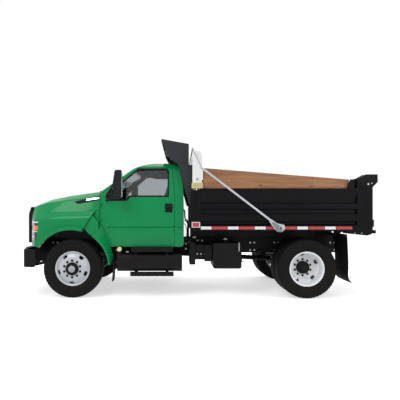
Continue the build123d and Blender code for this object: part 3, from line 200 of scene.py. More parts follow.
# A finish: its material's name and colour, then roughness, colour spread, pattern scale, grain and bump.
FINISH_ROWS = {
    "green": ("green_paint", (0, 134, 74), 0.26, 0.03, 1.5, 220, 0.006,
              dict(coat=0.22, rough_spread=0.05, specular=0.1)),
    "chassis_black": ("chassis_paint", (14, 14, 16), 0.5, 0.15, 4, 60, 0.05, dict(dust=0.05, specular=0.1)),
    "body_black": ("body_paint", (9, 9, 12), 0.32, 0.15, 2.5, 30, 0.03, dict(specular=0.1)),
    "shield_grey": ("shield_paint", (46, 48, 51), 0.5, 0.1, 2, 30, 0.05, dict(specular=0.15)),
    "engine_grey": ("engine_iron", (70, 70, 72), 0.6, 0.2, 9, 80, 0.2, dict(metal=0.4)),
    "glass": ("tinted_glass", (196, 200, 203), 0.01, 0.01, 3, 40, 0,
              dict(rough_spread=0.01, transmission=1.0, specular=0.15)),
    "interior": ("interior_trim", (14, 15, 17), 0.75, 0.1, 12, 400, 0.15, dict(specular=0.12)),
    "dark_plastic": ("dark_plastic", (28, 31, 33), 0.55, 0.08, 8, 300, 0.12, dict(specular=0.12)),
    "chrome": ("bright_chrome", (215, 217, 220), 0.12, 0.04, 5, 60, 0.01, dict(metal=1.0, rough_spread=0.05)),
    "lamp": ("lamp_lens", (225, 228, 232), 0.1, 0.03, 6, 90, 0.04, dict(coat=1.0, rough_spread=0.04)),
    "rubber_sheet": ("flap_rubber", (13, 13, 15), 0.7, 0.15, 6, 120, 0.15, dict(specular=0.12)),
    "steel_bright": ("bright_steel", (150, 151, 154), 0.35, 0.1, 7, 90, 0.04, dict(metal=0.9, dust=0.1)),
    "tyre": ("tyre_rubber", (14, 14, 16), 0.72, 0.14, 7, 150, 0.12, dict(dust=0.04, specular=0.1)),
    # The rims are one paint in two copies: the front copy is toned down as painted shade, and the rear copy
    # is lightened as painted light for the shade in the deep rear dishes.
    "rim": ("rim_paint", (188, 192, 197), 0.32, 0.05, 5, 70, 0.03, dict(coat=0.4)),
    "rim_white": ("rear_rim_paint", (234, 236, 239), 0.36, 0.04, 5, 70, 0.03, dict(coat=0.3)),
    "tarp_fabric": ("tarp_mesh", (30, 31, 33), 0.8, 0.2, 10, 500, 0.5, dict(sheen=0.2)),
    "white_metal": ("white_enamel", (228, 229, 227), 0.4, 0.04, 4, 40, 0.03, dict(coat=0.3)),
    "aluminium": ("mill_aluminium", (176, 179, 184), 0.38, 0.08, 6, 80, 0.03, dict(metal=0.75)),
    "tape_red": ("tape_red", (176, 34, 42), 0.35, 0.12, 30, 420, 0.25, dict(coat=0.5)),
    "tape_white": ("tape_white", (226, 228, 230), 0.3, 0.05, 30, 420, 0.25, dict(coat=0.5)),
    "amber": ("amber_lens", (226, 120, 22), 0.12, 0.05, 20, 90, 0.05, dict(coat=1.0)),
    "red_lens": ("red_lens", (160, 18, 20), 0.12, 0.05, 20, 90, 0.05, dict(coat=1.0)),
    "cast_grey": ("cast_grey", (118, 124, 124), 0.5, 0.08, 14, 90, 0.05, dict(metal=0.3)),
    "zinc": ("yellow_zinc", (186, 176, 124), 0.4, 0.15, 12, 60, 0.05, dict(metal=0.5)),
    "seal": ("window_seal", (13, 13, 14), 0.6, 0.1, 9, 200, 0.05, dict(specular=0.15)),
    "mirror_face": ("mirror_face", (210, 214, 216), 0.03, 0.01, 3, 40, 0, dict(metal=1.0, rough_spread=0.01)),
    "lens_dark": ("lamp_housing", (16, 18, 24), 0.12, 0.1, 12, 60, 0.02, dict(coat=0.6)),
    "hub_black": ("hub_paint", (12, 12, 14), 0.45, 0.15, 14, 90, 0.05, dict(specular=0.15)),
    "cap_cream": ("filler_cap", (228, 214, 170), 0.45, 0.05, 20, 120, 0.04, {}),
    "seat_cloth": ("seat_cloth", (58, 58, 62), 0.85, 0.12, 30, 700, 0.35, dict(sheen=0.3)),
    "hose": ("hose_rubber", (22, 22, 23), 0.5, 0.1, 12, 160, 0.1, {}),
}
FINISHES = {key: material(name, linear(*color), *numbers, **others)
            for key, (name, color, *numbers, others) in FINISH_ROWS.items()}
FINISHES["lumber"] = wood_material("weathered_lumber", linear(166, 118, 82))

node_slots = {entry["node"]: entry["material_slot"] for entry in frame["record"]["subparts"]}
node_bodies = {}
for body_name, members in frame["record"]["behaviour"]["bodies"].items():
    for member in members:
        node_bodies[member] = body_name


def new_object(name, data):
    """An object in the scene."""
    made = bpy.data.objects.new(name, data)
    bpy.context.scene.collection.objects.link(made)
    return made


def mesh_object(name, shape):
    """An object in the scene from a bmesh, which is then freed."""
    mesh = bpy.data.meshes.new(name)
    shape.to_mesh(mesh)
    shape.free()
    return new_object(name, mesh)


def finish_mesh(name, shape, body, finish, sharp_angle=35.0):
    """A piece from a bmesh: smooth-shaded but for its sharp edges, riding on a body."""
    bmesh.ops.recalc_face_normals(shape, faces=shape.faces)
    limit = math.radians(sharp_angle)
    for face in shape.faces:
        face.smooth = True
    for edge in shape.edges:
        edge.smooth = len(edge.link_faces) == 2 and edge.calc_face_angle(0) < limit
    made = mesh_object(name, shape)
    made.data.materials.append(FINISHES[finish])
    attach(made, body)
    return made


def bevel(piece, width, segments=2):
    """Rounded edges, as pressed or rolled steel has."""
    rounding = piece.modifiers.new("edges", "BEVEL")
    rounding.width = width * MM
    rounding.segments = segments
    rounding.limit_method = "ANGLE"
    rounding.angle_limit = BEVEL_ANGLE
    rounding.harden_normals = True


def add_piece(name, shape, body, finish, width=0.0, segments=2, sharp_angle=35.0):
    """A piece that adds to the CAD ones, with rounded edges where a width is given."""
    piece = finish_mesh(name, shape, body, finish, sharp_angle)
    if width:
        bevel(piece, width, segments)


def dress(node, width, finish=None):
    """A copy of a CAD piece with rounded edges and even shading, in place of it."""
    source = frame["nodes"][node].data
    shape = bmesh.new()
    corners = [shape.verts.new(vertex.co) for vertex in source.vertices]
    for corner in corners:
        corner.co.x = min(corner.co.x, place(TAPE_FRONT, 0, 0).x)
    for polygon in source.polygons:
        shape.faces.new([corners[index] for index in polygon.vertices])
    bmesh.ops.remove_doubles(shape, verts=shape.verts, dist=MERGE_DISTANCE)
    bmesh.ops.dissolve_limit(shape, angle_limit=FLAT_ANGLE, verts=shape.verts, edges=shape.edges)
    piece = finish_mesh(node + "_skin", shape, node_bodies[node], finish or node_slots[node])
    if width:
        bevel(piece, width)
    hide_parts(node)
    return piece


def add_block(shape, x0, x1, y0, y1, z0, z1):
    """A block between two corners."""
    low = place(x0, y0, z0)
    high = place(x1, y1, z1)
    middle = (low + high) / 2
    size = high - low
    matrix = Matrix.Translation(middle) @ Matrix.Diagonal((abs(size.x), abs(size.y), abs(size.z), 1))
    bmesh.ops.create_cube(shape, size=1, matrix=matrix)


def add_rod(shape, start, end, radius, sides=16, end_radius=None):
    """A round bar between two points given in millimetres."""
    low = place(*start)
    high = place(*end)
    run = high - low
    turn = run.to_track_quat("Z", "Y").to_matrix().to_4x4()
    matrix = Matrix.Translation((low + high) / 2) @ turn
    bmesh.ops.create_cone(shape, cap_ends=True, segments=sides, radius1=radius * MM,
                          radius2=(end_radius or radius) * MM, depth=run.length, matrix=matrix)


def join_rows(shape, near, far, closed=True):
    """Faces between two rows of corners, which are rings unless they are open."""
    count = len(near)
    for index in range(count if closed else count - 1):
        after = (index + 1) % count
        shape.faces.new((near[index], near[after], far[after], far[index]))


def add_plate(shape, near_points, far_points):
    """A plate between two outlines of points in millimetres."""
    near = [shape.verts.new(place(*point)) for point in near_points]
    far = [shape.verts.new(place(*point)) for point in far_points]
    shape.faces.new(near)
    shape.faces.new(far[::-1])
    join_rows(shape, near, far)


def add_turned(shape, profile, x, z, sides, side=1):
    """A closed (half-width, radius) profile revolved about the line through x and z along Y."""
    rings = []
    for step in range(sides):
        turn = 2 * math.pi * step / sides
        rings.append([shape.verts.new(place(x + radius * math.cos(turn), side * half,
                                            z + radius * math.sin(turn)))
                      for half, radius in profile])
    for ring, after in zip(rings, rings[1:] + rings[:1]):
        join_rows(shape, ring, after)


def add_hose(name, points, radius):
    """A bent hose on the chassis, through points given in millimetres."""
    curve = bpy.data.curves.new(name, "CURVE")
    curve.dimensions = "3D"
    spline = curve.splines.new("NURBS")
    spline.points.add(len(points) - 1)
    for index, point in enumerate(points):
        spline.points[index].co = (*place(*point), 1)
    spline.order_u = 3
    spline.use_endpoint_u = True
    curve.bevel_depth = radius * MM
    curve.bevel_resolution = 3
    curve.use_fill_caps = True
    curve.materials.append(FINISHES["hose"])
    made = new_object(name, curve)
    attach(made, node_bodies["frame_rail_left"])


TYRE_STEPS = 150
GROOVE = 13.0
NOTCH = 9.0
SIPE = 2.5
TYRE_PROFILE = [(-97, 287), (-98, 299), (-112, 303), (-126, 322), (-137, 350), (-137.6, 366), (-136, 368),
                (-137.6, 371), (-137.5, 420), (-133, 450), (-131.5, 452), (-132, 456), (-128.5, 474),
                (-121, 491), (-115, 497), (-107, 500.5), (-82, 503.5), (-78, 503.8), (-76, 503.8 - GROOVE),
                (-67, 503.8 - GROOVE), (-65, 504.2), (-34, 504.9), (-32, 505 - GROOVE), (-23, 505 - GROOVE),
                (-21, 505)]


def make_tyre(name, body, x, centre):
    """A highway tyre: ribbed tread with sipes, shoulder notches and sidewall rings."""
    outline = TYRE_PROFILE + [(-edge, radius) for edge, radius in reversed(TYRE_PROFILE)]
    shape = bmesh.new()
    rings = []
    for step in range(TYRE_STEPS):
        turn = 2 * math.pi * step / TYRE_STEPS
        ring = []
        for edge, radius in outline:
            notched = step % 3 == 0 and 99 < abs(edge) < 116 and radius > 490
            reach = radius - NOTCH if notched else radius
            zig = (SIPE if step % 2 else -SIPE) if abs(edge) < 80 and radius > 480 else 0
            ring.append(shape.verts.new(place(x + reach * math.cos(turn), centre + edge + zig,
                                              TYRE_RADIUS + reach * math.sin(turn))))
        rings.append(ring)
    for ring, after in zip(rings, rings[1:] + rings[:1]):
        join_rows(shape, ring, after)
    tyre = finish_mesh(name, shape, body, "tyre", 28)
    return tyre


def add_nuts(shape, x, y, side, circle, count, radius, length, phase=0.0):
    """Hexagon nuts and stud ends round a circle on a wheel."""
    for number in range(count):
        turn = 2 * math.pi * number / count + phase
        at_x = x + circle * math.cos(turn)
        at_z = TYRE_RADIUS + circle * math.sin(turn)
        reach = y + side * length
        add_rod(shape, (at_x, y, at_z), (at_x, y + side * 6, at_z), radius * 1.25, 18)
        add_rod(shape, (at_x, y + side * 6, at_z), (at_x, reach, at_z), radius, 6)
        add_rod(shape, (at_x, reach, at_z), (at_x, y + side * (length + 14), at_z), radius * 0.55, 12)


def add_hub(name, body, x, side, base, profile, finish="hub_black"):
    """A turned cover over a hub, from its (width beyond the base, radius) profile."""
    shape = bmesh.new()
    add_turned(shape, [(base + width, radius) for width, radius in profile], x, TYRE_RADIUS, 48, side)
    add_piece(name, shape, body, finish)


BOLT_CIRCLE = 142.9
BOLT_PHASE = 0.31
FRONT_HUB = [(-2, 90), (3, 112), (10, 112), (16, 92), (22.5, 88), (35, 73), (36, 62), (36, 0.1), (-2, 0.1)]
FRONT_CAP = [(30, 58), (42, 57), (46, 52), (43, 40), (43, 22), (48, 18), (48, 0.1), (30, 0.1)]
REAR_HUB = [(14, 100), (14, 118), (24, 114), (63, 109), (70, 100), (70, 61), (84, 54), (84, 0.1), (14, 0.1)]
DRUM_BACK = [(0, 205), (0, 262), (12, 266), (15, 262), (5, 255), (5, 205)]
DRUM_HUB = [(8, 190), (8, 212), (30, 212), (34, 206), (60, 206), (64, 212), (96, 208), (96, 190)]


def make_wheels():
    """Tyres with tread, and the rims with their nuts, hubs and drums."""
    face = FRONT_TRACK_HALF + TYRE_WIDTH / 2 - 4
    inside = FRONT_TRACK_HALF - 95
    for side_name, side in SIDES:
        wheel = "wheel_front_" + side_name
        twins = "wheels_rear_" + side_name
        front = make_tyre("front_tyre_" + side_name, wheel, 0, side * FRONT_TRACK_HALF)
        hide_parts("tyre_front_" + side_name)
        outer = make_tyre("rear_tyre_outer_" + side_name, twins, WHEELBASE, side * REAR_OUTER_HALF)
        make_tyre("rear_tyre_inner_" + side_name, twins, WHEELBASE, side * REAR_INNER_HALF)
        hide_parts("tyres_rear_" + side_name)
        dress("rim_front_" + side_name, 2.5)
        # The rear rims take the lightened copy of the rim paint: painted light for the shade in their deep
        # dishes.
        dress("rims_rear_" + side_name, 2.5, finish="rim_white")
        shape = bmesh.new()
        for profile in (DRUM_BACK, DRUM_HUB):
            moved = [(inside + width, radius) for width, radius in profile]
            add_turned(shape, moved, 0, TYRE_RADIUS, 48, side)
        add_piece("front_drum_" + side_name, shape, wheel, "hub_black")
        shape = bmesh.new()
        add_nuts(shape, 0, side * (face - 1), side, BOLT_CIRCLE, 10, 16, 26, BOLT_PHASE)
        add_piece("front_nuts_" + side_name, shape, wheel, "hub_black")
        add_hub("front_hub_" + side_name, wheel, 0, side, face, FRONT_HUB)
        add_hub("front_cap_" + side_name, wheel, 0, side, face, FRONT_CAP, "steel_bright")
        shape = bmesh.new()
        add_nuts(shape, WHEELBASE, side * (DUAL_MIDDLE + 13), side, BOLT_CIRCLE, 10, 16, 26, BOLT_PHASE)
        add_nuts(shape, WHEELBASE, side * (DUAL_MIDDLE + 68), side, 78, 8, 8, 10)
        add_piece("rear_nuts_" + side_name, shape, twins, "hub_black")
        add_hub("rear_hub_" + side_name, twins, WHEELBASE, side, DUAL_MIDDLE, REAR_HUB)


surface_trees = {}


def cast(nodes, start, direction):
    """Where a ray first meets the chosen CAD pieces, and their normal there."""
    best = None
    for node in nodes:
        if node not in surface_trees:
            source = frame["nodes"][node].data
            surface_trees[node] = BVHTree.FromPolygons([vertex.co for vertex in source.vertices],
                                                       [polygon.vertices[:] for polygon in source.polygons])
        hit, normal, _, distance = surface_trees[node].ray_cast(start, direction)
        if hit is not None and (best is None or distance < best[2]):
            best = (hit, normal, distance)
    return best


PATCH_SINK = 3.0


def drape(shape, nodes, corners, direction, lift, steps, crown=0.0):
    """A thin patch laid on CAD pieces: four corners in millimetres, cast along a direction."""
    towards = Vector(direction).normalized()
    top = []
    bottom = []
    first, second, third, fourth = (Vector(corner) for corner in corners)
    reach = 0.3
    for step in range(steps + 1):
        edge_start = first.lerp(second, step / steps)
        edge_end = fourth.lerp(third, step / steps)
        for across_share in (0.0, 0.5, 1.0):
            start = place(*edge_start.lerp(edge_end, across_share))
            found = cast(nodes, start, towards)
            if found:
                reach = (found[0] - start).length
            height = lift + (crown if across_share == 0.5 else 0.0)
            top.append(shape.verts.new(start + towards * (reach - height * MM)))
            bottom.append(shape.verts.new(start + towards * (reach + PATCH_SINK * MM)))
    for step in range(steps):
        for column in range(2):
            index = step * 3 + column
            quad = (index, index + 3, index + 4, index + 1)
            shape.faces.new([top[corner] for corner in quad])
            shape.faces.new([bottom[corner] for corner in quad[::-1]])
        for column in (0, 2):
            index = step * 3 + column
            shape.faces.new((top[index], top[index + 3], bottom[index + 3], bottom[index]))
    for index in (0, 1, steps * 3, steps * 3 + 1):
        shape.faces.new((top[index], top[index + 1], bottom[index + 1], bottom[index]))


def side_patch(shape, nodes, side, low, high, lift, steps=4, lean=0.0, crown=0.0):
    """A rectangle on the truck's side, from its low (x, z) corner to its high one."""
    far = side * 1450.0
    corners = [(low[0], far, low[1]), (high[0], far, low[1] + lean), (high[0], far, high[1] + lean),
               (low[0], far, high[1])]
    drape(shape, nodes, corners, (0, -side, 0), lift, steps, crown=crown)


def grown(outline, distance):
    """A closed (x, z) outline pushed out from its middle line by a distance."""
    count = len(outline)
    area = sum(outline[i][0] * outline[(i + 1) % count][1] - outline[(i + 1) % count][0] * outline[i][1]
               for i in range(count))
    turn = 1 if area > 0 else -1
    made = []
    for index in range(count):
        before = Vector(outline[index - 1])
        here = Vector(outline[index])
        after = Vector(outline[(index + 1) % count])
        run_in = (here - before).normalized()
        run_out = (after - here).normalized()
        normal = Vector((run_in.y + run_out.y, -run_in.x - run_out.x)) * turn
        normal.normalize()
        share = max(0.5, normal.dot(Vector((run_in.y, -run_in.x)) * turn))
        made.append(here + normal * distance / share)
    return made


WINDOW_OUTLINE = [(568, 1690), (905, 1690), (975, 1761), (1638, 1761), (1638, 2200), (1612, 2240),
                  (1112, 2240), (1030, 2168), (800, 1978), (568, 1806)]
CAB_PROFILE = [(885, 1000), (1228, 1015), (1761, 1002), (2286, 897)]
SCREEN_LOW = (488.0, 1859.0)
SCREEN_HIGH = (1041.0, 2262.0)


def cab_half(z):
    """The cab side's half-width at a height."""
    for (low, low_half), (high, high_half) in zip(CAB_PROFILE, CAB_PROFILE[1:]):
        if z <= high:
            return low_half + (high_half - low_half) * (z - low) / (high - low)
    return CAB_PROFILE[-1][1]


def make_window_seals():
    """Black rubber round each door glass, with the black panel at its front corner."""
    for side_name, side in SIDES:
        body = node_bodies["door_" + side_name]

        def on_door(outline, lift):
            return [(x, side * (cab_half(z) + lift), z) for x, z in outline]

        shape = bmesh.new()
        outer = grown(WINDOW_OUTLINE, 17.0)
        inner = grown(WINDOW_OUTLINE, -10.0)
        rings = [[shape.verts.new(place(*point)) for point in on_door(outline, lift)]
                 for outline, lift in ((outer, -1.0), (outer, 3.0), (inner, 2.0), (inner, -12.0))]
        for near, far in zip(rings, rings[1:]):
            join_rows(shape, near, far)
        add_piece("window_seal_" + side_name, shape, body, "seal")
        shape = bmesh.new()
        corner = [(572, 1694), (690, 1694), (690, 1800), (572, 1790)]
        add_plate(shape, on_door(corner, -1), on_door(corner, -13))
        add_piece("sail_panel_" + side_name, shape, body, "dark_plastic")


def make_door_trim():
    """Pull handles, each on a black patch that paints the shade of its recess, the pressed swage line, and
    the mirrors' glass.
    """
    for side_name, side in SIDES:
        door = "door_" + side_name
        body = node_bodies[door]
        shape = bmesh.new()
        # A flat black patch where the handle's recess is: painted shade in place of a real hollow.
        side_patch(shape, [door], side, (1586, 1470), (1716, 1628), 1.2)
        add_piece("handle_recess_painted_shade_" + side_name, shape, body, "seal", 1.0)
        shape = bmesh.new()
        add_block(shape, 1584, 1721, side * 1000, side * 1034, 1558, 1597)
        side_patch(shape, [door], side, (1690, 1512), (1708, 1560), 9)
        add_piece("handle_paddle_" + side_name, shape, body, "dark_plastic", 4, 3)
        for node, x0, x1 in ((door, 585, 1748), ("cab_shell", 1768, 1902)):
            shape = bmesh.new()
            side_patch(shape, [node], side, (x0, 1205), (x1, 1251), -1.0, 8, crown=13.0)
            add_piece(node + "_swage_" + side_name, shape, node_bodies[node], "green",
                      sharp_angle=60)
        shape = bmesh.new()
        for z0, z1 in ((1885, 2160), (1730, 1868)):
            add_block(shape, 863, 869, side * 1204, side * 1274, z0, z1)
        add_piece("mirror_glass_" + side_name, shape, node_bodies["mirror_" + side_name], "mirror_face",
                  2)


def screen_point(share, half, lift=0.0):
    """A point on the windscreen's slope: 0 at its foot and 1 at its head."""
    run_x = SCREEN_HIGH[0] - SCREEN_LOW[0]
    run_z = SCREEN_HIGH[1] - SCREEN_LOW[1]
    length = math.hypot(run_x, run_z)
    x = SCREEN_LOW[0] + run_x * share - run_z / length * lift
    z = SCREEN_LOW[1] + run_z * share + run_x / length * lift
    return (x, half, z)


def make_screen_trim():
    """The windscreen's black border, the wipers and the roof lamps."""
    body = node_bodies["cab_glass"]
    towards = Vector((SCREEN_HIGH[1] - SCREEN_LOW[1], 0, -(SCREEN_HIGH[0] - SCREEN_LOW[0])))
    shape = bmesh.new()
    half = 842.0
    above = 300
    for low, high, in_half, out_half in ((0.035, 0.10, -half, half), (0.905, 0.965, -half, half),
                                         (0.06, 0.94, -half, -half + 34), (0.06, 0.94, half - 34, half)):
        corners = [screen_point(low, in_half, above), screen_point(low, out_half, above),
                   screen_point(high, out_half, above), screen_point(high, in_half, above)]
        drape(shape, ["cab_glass", "cab_shell"], corners, towards, 2.0, 14)
    add_piece("screen_border", shape, body, "seal")
    shape = bmesh.new()
    for pivot_half, tip_half, blade in ((-430.0, 260.0, 620), (330.0, 810.0, 560)):
        elbow = screen_point(0.10, (pivot_half + tip_half) / 2 - 60, 34)
        add_rod(shape, screen_point(0.0, pivot_half, 14), elbow, 7, 10)
        add_rod(shape, screen_point(-0.015, pivot_half, 2), screen_point(0.02, pivot_half, 24), 15, 14)
        add_rod(shape, screen_point(0.115, tip_half, 20), screen_point(0.085, tip_half - blade, 20), 8, 8)
        add_rod(shape, screen_point(0.115, tip_half, 8), screen_point(0.085, tip_half - 560, 8), 5, 6)
    add_piece("wipers", shape, body, "seal")
    housings = bmesh.new()
    lenses = bmesh.new()
    tilt = Matrix.Rotation(math.radians(-14), 4, "Y")
    for half_at in (-600.0, -150.0, 0.0, 150.0, 600.0):
        roof = cast(["cab_shell"], place(1160, half_at, 2700), Vector((0, 0, -1)))[0]
        for target, size, rise in ((housings, (0.075, 0.05, 0.016), 0.0),
                                   (lenses, (0.058, 0.038, 0.03), 0.012)):
            matrix = Matrix.Translation(roof + Vector((0, 0, rise))) @ tilt @ Matrix.Diagonal((*size, 1))
            bmesh.ops.create_uvsphere(target, u_segments=20, v_segments=12, radius=1.0, matrix=matrix)
    add_piece("roof_lamp_bases", housings, body, "dark_plastic")
    add_piece("roof_lamp_lenses", lenses, body, "amber")


def make_hood_trim():
    """Headlamp innards, vent bars, the mesh behind the grille, and the arches' front liners."""
    body = node_bodies["hood"]
    lights = {"lamp": [((-800, 1290), (-612, 1312)), ((-800, 1130), (-616, 1148))],
              "amber": [((-716, 1160), (-612, 1240))],
              "chrome": [((-802, 1166), (-770, 1240)), ((-802, 1040), (-690, 1052))]}
    for side_name, side in SIDES:
        for finish, patches in lights.items():
            shape = bmesh.new()
            for low, high in patches:
                side_patch(shape, ["headlamps"], side, low, high, 2.0, 8)
            add_piece("headlamp_" + finish + "_" + side_name, shape, body, finish)
        shape = bmesh.new()
        side_patch(shape, ["hood_vents"], side, (196, 1678), (424, 1712), 3.0, 8, 34)
        add_piece("vent_bar_" + side_name, shape, body, "chrome", 2)
    shape = bmesh.new()
    for row in range(13):
        z = 1000 + row * 39
        add_block(shape, -846, -842, -700, 700, z, z + 7)
    for column in range(-17, 18):
        y = column * 40.0
        add_block(shape, -849, -845, y - 3, y + 3, 990, 1495)
    add_piece("grille_mesh", shape, body, "dark_plastic")
    shape = bmesh.new()
    for row in range(36):
        z = 972 + row * 16.0
        add_block(shape, -840, -834, -712, 712, z, z + 12.5)
    add_block(shape, -834, -830, -712, 712, 968, 1552)
    add_piece("grille_screen", shape, body, "seal")
    for side_name, side in SIDES:
        shape = bmesh.new()
        for x, inner, outer in ((-646, 545, 1070), (-760, 433, 560)):
            add_block(shape, x, x + 6, side * inner, side * outer, 600, 890)
            for z in (640, 700, 760):
                add_block(shape, x - 6, x + 1, side * inner, side * outer, z, z + 14)
        add_piece("arch_liner_" + side_name, shape, node_bodies["bumper"], "seal", 2)


PAD_CUTS = 14
PAD_LAYERS = 4
PAD_ROUNDNESS = 7.0


def pad_mesh(shape, matrix, size, seams):
    """A crowned cushion whose edges pull in, with sewn channels along it."""
    grid = {}

    def corner(i, j, k):
        key = (i, j, k)
        if key not in grid:
            u, v, w = (2 * i / PAD_CUTS - 1, 2 * j / PAD_CUTS - 1, 2 * k / PAD_LAYERS - 1)
            norm = sum(abs(share) ** PAD_ROUNDNESS for share in (u, v, w)) ** (1 / PAD_ROUNDNESS)
            scale = max(abs(u), abs(v), abs(w)) / norm if norm else 1
            x = u * scale * (1 - 0.03 * v * v)
            y = v * scale * (1 - 0.03 * u * u)
            z = w * scale * (0.72 + 0.28 * (1 - u * u) * (1 - v * v))
            if w > 0:
                for seam in seams:
                    z -= 0.14 * math.exp(-((v - seam) / 0.06) ** 2)
            point = Vector((x * size[0] / 2, y * size[1] / 2, z * size[2] / 2)) * MM
            grid[key] = shape.verts.new(matrix @ point)
        return grid[key]

    for i in range(PAD_CUTS):
        for j in range(PAD_CUTS):
            for k, flip in ((0, True), (PAD_LAYERS, False)):
                face = [corner(i, j, k), corner(i + 1, j, k), corner(i + 1, j + 1, k), corner(i, j + 1, k)]
                shape.faces.new(face[::-1] if flip else face)
    for i in range(PAD_CUTS):
        for k in range(PAD_LAYERS):
            for j in (0, PAD_CUTS):
                shape.faces.new((corner(i, j, k), corner(i + 1, j, k), corner(i + 1, j, k + 1),
                                 corner(i, j, k + 1)))
                shape.faces.new((corner(j, i, k), corner(j, i + 1, k), corner(j, i + 1, k + 1),
                                 corner(j, i, k + 1)))


def soften(piece):
    """One level of smoothing over a soft piece."""
    smooth = piece.modifiers.new("smooth", "SUBSURF")
    smooth.levels = 1
    smooth.render_levels = 1


def make_seats():
    """Two cloth seats on their plinths."""
    body = node_bodies["seats"]
    lean = math.atan2(160, 590)
    shapes = (("cushion", (1315, 1362), 0.0, (505, 515, 132), (-0.45, 0.45)),
              ("backrest", (1592, 1722), lean, (592, 495, 112), (-0.5, 0.5)),
              ("headrest", (1695, 2085), lean, (138, 256, 78), ()))
    for name, half in (("driver", -420.0), ("passenger", 420.0)):
        for part_name, (x, z), tilt, size, seams in shapes:
            shape = bmesh.new()
            turn = Matrix.Rotation(-math.pi / 2 + tilt, 4, "Y") if tilt else Matrix.Identity(4)
            pad_mesh(shape, Matrix.Translation(place(x, half, z)) @ turn, size, seams)
            pad = finish_mesh(part_name + "_" + name, shape, body, "seat_cloth", 60)
            soften(pad)
        shape = bmesh.new()
        add_block(shape, 1120, 1500, half - 200, half + 200, 1051, 1300)
        for post_half in (-60.0, 60.0):
            add_rod(shape, (1650, half + post_half, 1980), (1672, half + post_half, 2060), 7, 10)
        add_piece("seat_plinth_" + name, shape, body, "dark_plastic", 12)
    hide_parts("seats")


def make_cab_lining(piece, centre):
    """Faces that look into the cab take the dark trim."""
    piece.data.materials.append(FINISHES["interior"])
    middle = place(*centre)
    for polygon in piece.data.polygons:
        inward = middle - polygon.center
        if polygon.normal.dot(inward.normalized()) > INWARD_SHARE:
            polygon.material_index = 1


HOIST_BASE = (2400.0, 760.0)
TRUNNION_RADIUS = 30.0


def slim_trunnion(piece):
    """The hoist's trunnion a little under its bore, so that its flat facets turn freely."""
    base = place(HOIST_BASE[0], 0, HOIST_BASE[1])
    for vertex in piece.data.vertices:
        away = Vector((vertex.co.x - base.x, 0, vertex.co.z - base.z))
        if abs(away.length / MM - TRUNNION_RADIUS) < 1.0 and abs(vertex.co.y) > 0.1:
            vertex.co -= away.normalized() * 0.8 * MM


ROLL_X = 2145.0
ROLL_Z = 2380.0
ROLL_INNER = 26.0
ROLL_OUTER = 60.5
ROLL_TURNS = 12
ROLL_STEPS = 36
TARP_WIDTH = 2280.0
TARP_COLUMNS = 8


def make_tarp():
    """The rolled mesh cover, wound on its tube between the towers."""
    body = node_bodies["tarp_roll"]
    shape = bmesh.new()
    rows = []
    total = ROLL_TURNS * ROLL_STEPS
    for step in range(total + 1):
        radius = ROLL_INNER + (ROLL_OUTER - ROLL_INNER) * (step / total)
        turn = 2 * math.pi * step / ROLL_STEPS
        x = ROLL_X + radius * math.cos(turn)
        z = ROLL_Z + radius * math.sin(turn)
        rows.append([shape.verts.new(place(x, TARP_WIDTH * (column / TARP_COLUMNS - 0.5), z))
                     for column in range(TARP_COLUMNS + 1)])
    for row, after in zip(rows, rows[1:]):
        join_rows(shape, row, after, closed=False)
    for face in shape.faces:
        face.smooth = True
    roll = mesh_object("rolled_tarp", shape)
    roll.data.materials.append(FINISHES["tarp_fabric"])
    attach(roll, body)
    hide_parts("tarp_roll")
    shape = bmesh.new()
    add_rod(shape, (ROLL_X, -1149, ROLL_Z), (ROLL_X, 1149, ROLL_Z), 24, 28)
    tube = finish_mesh("tarp_tube", shape, body, "aluminium")


ARM_FOOT = [(3378, 1316), (3425, 1308), (3500, 1262), (3552, 1222), (3572, 1180), (3548, 1142), (3500, 1142),
            (3452, 1186), (3412, 1244)]
RED_STRIP = 279.0
WHITE_STRIP = 178.0


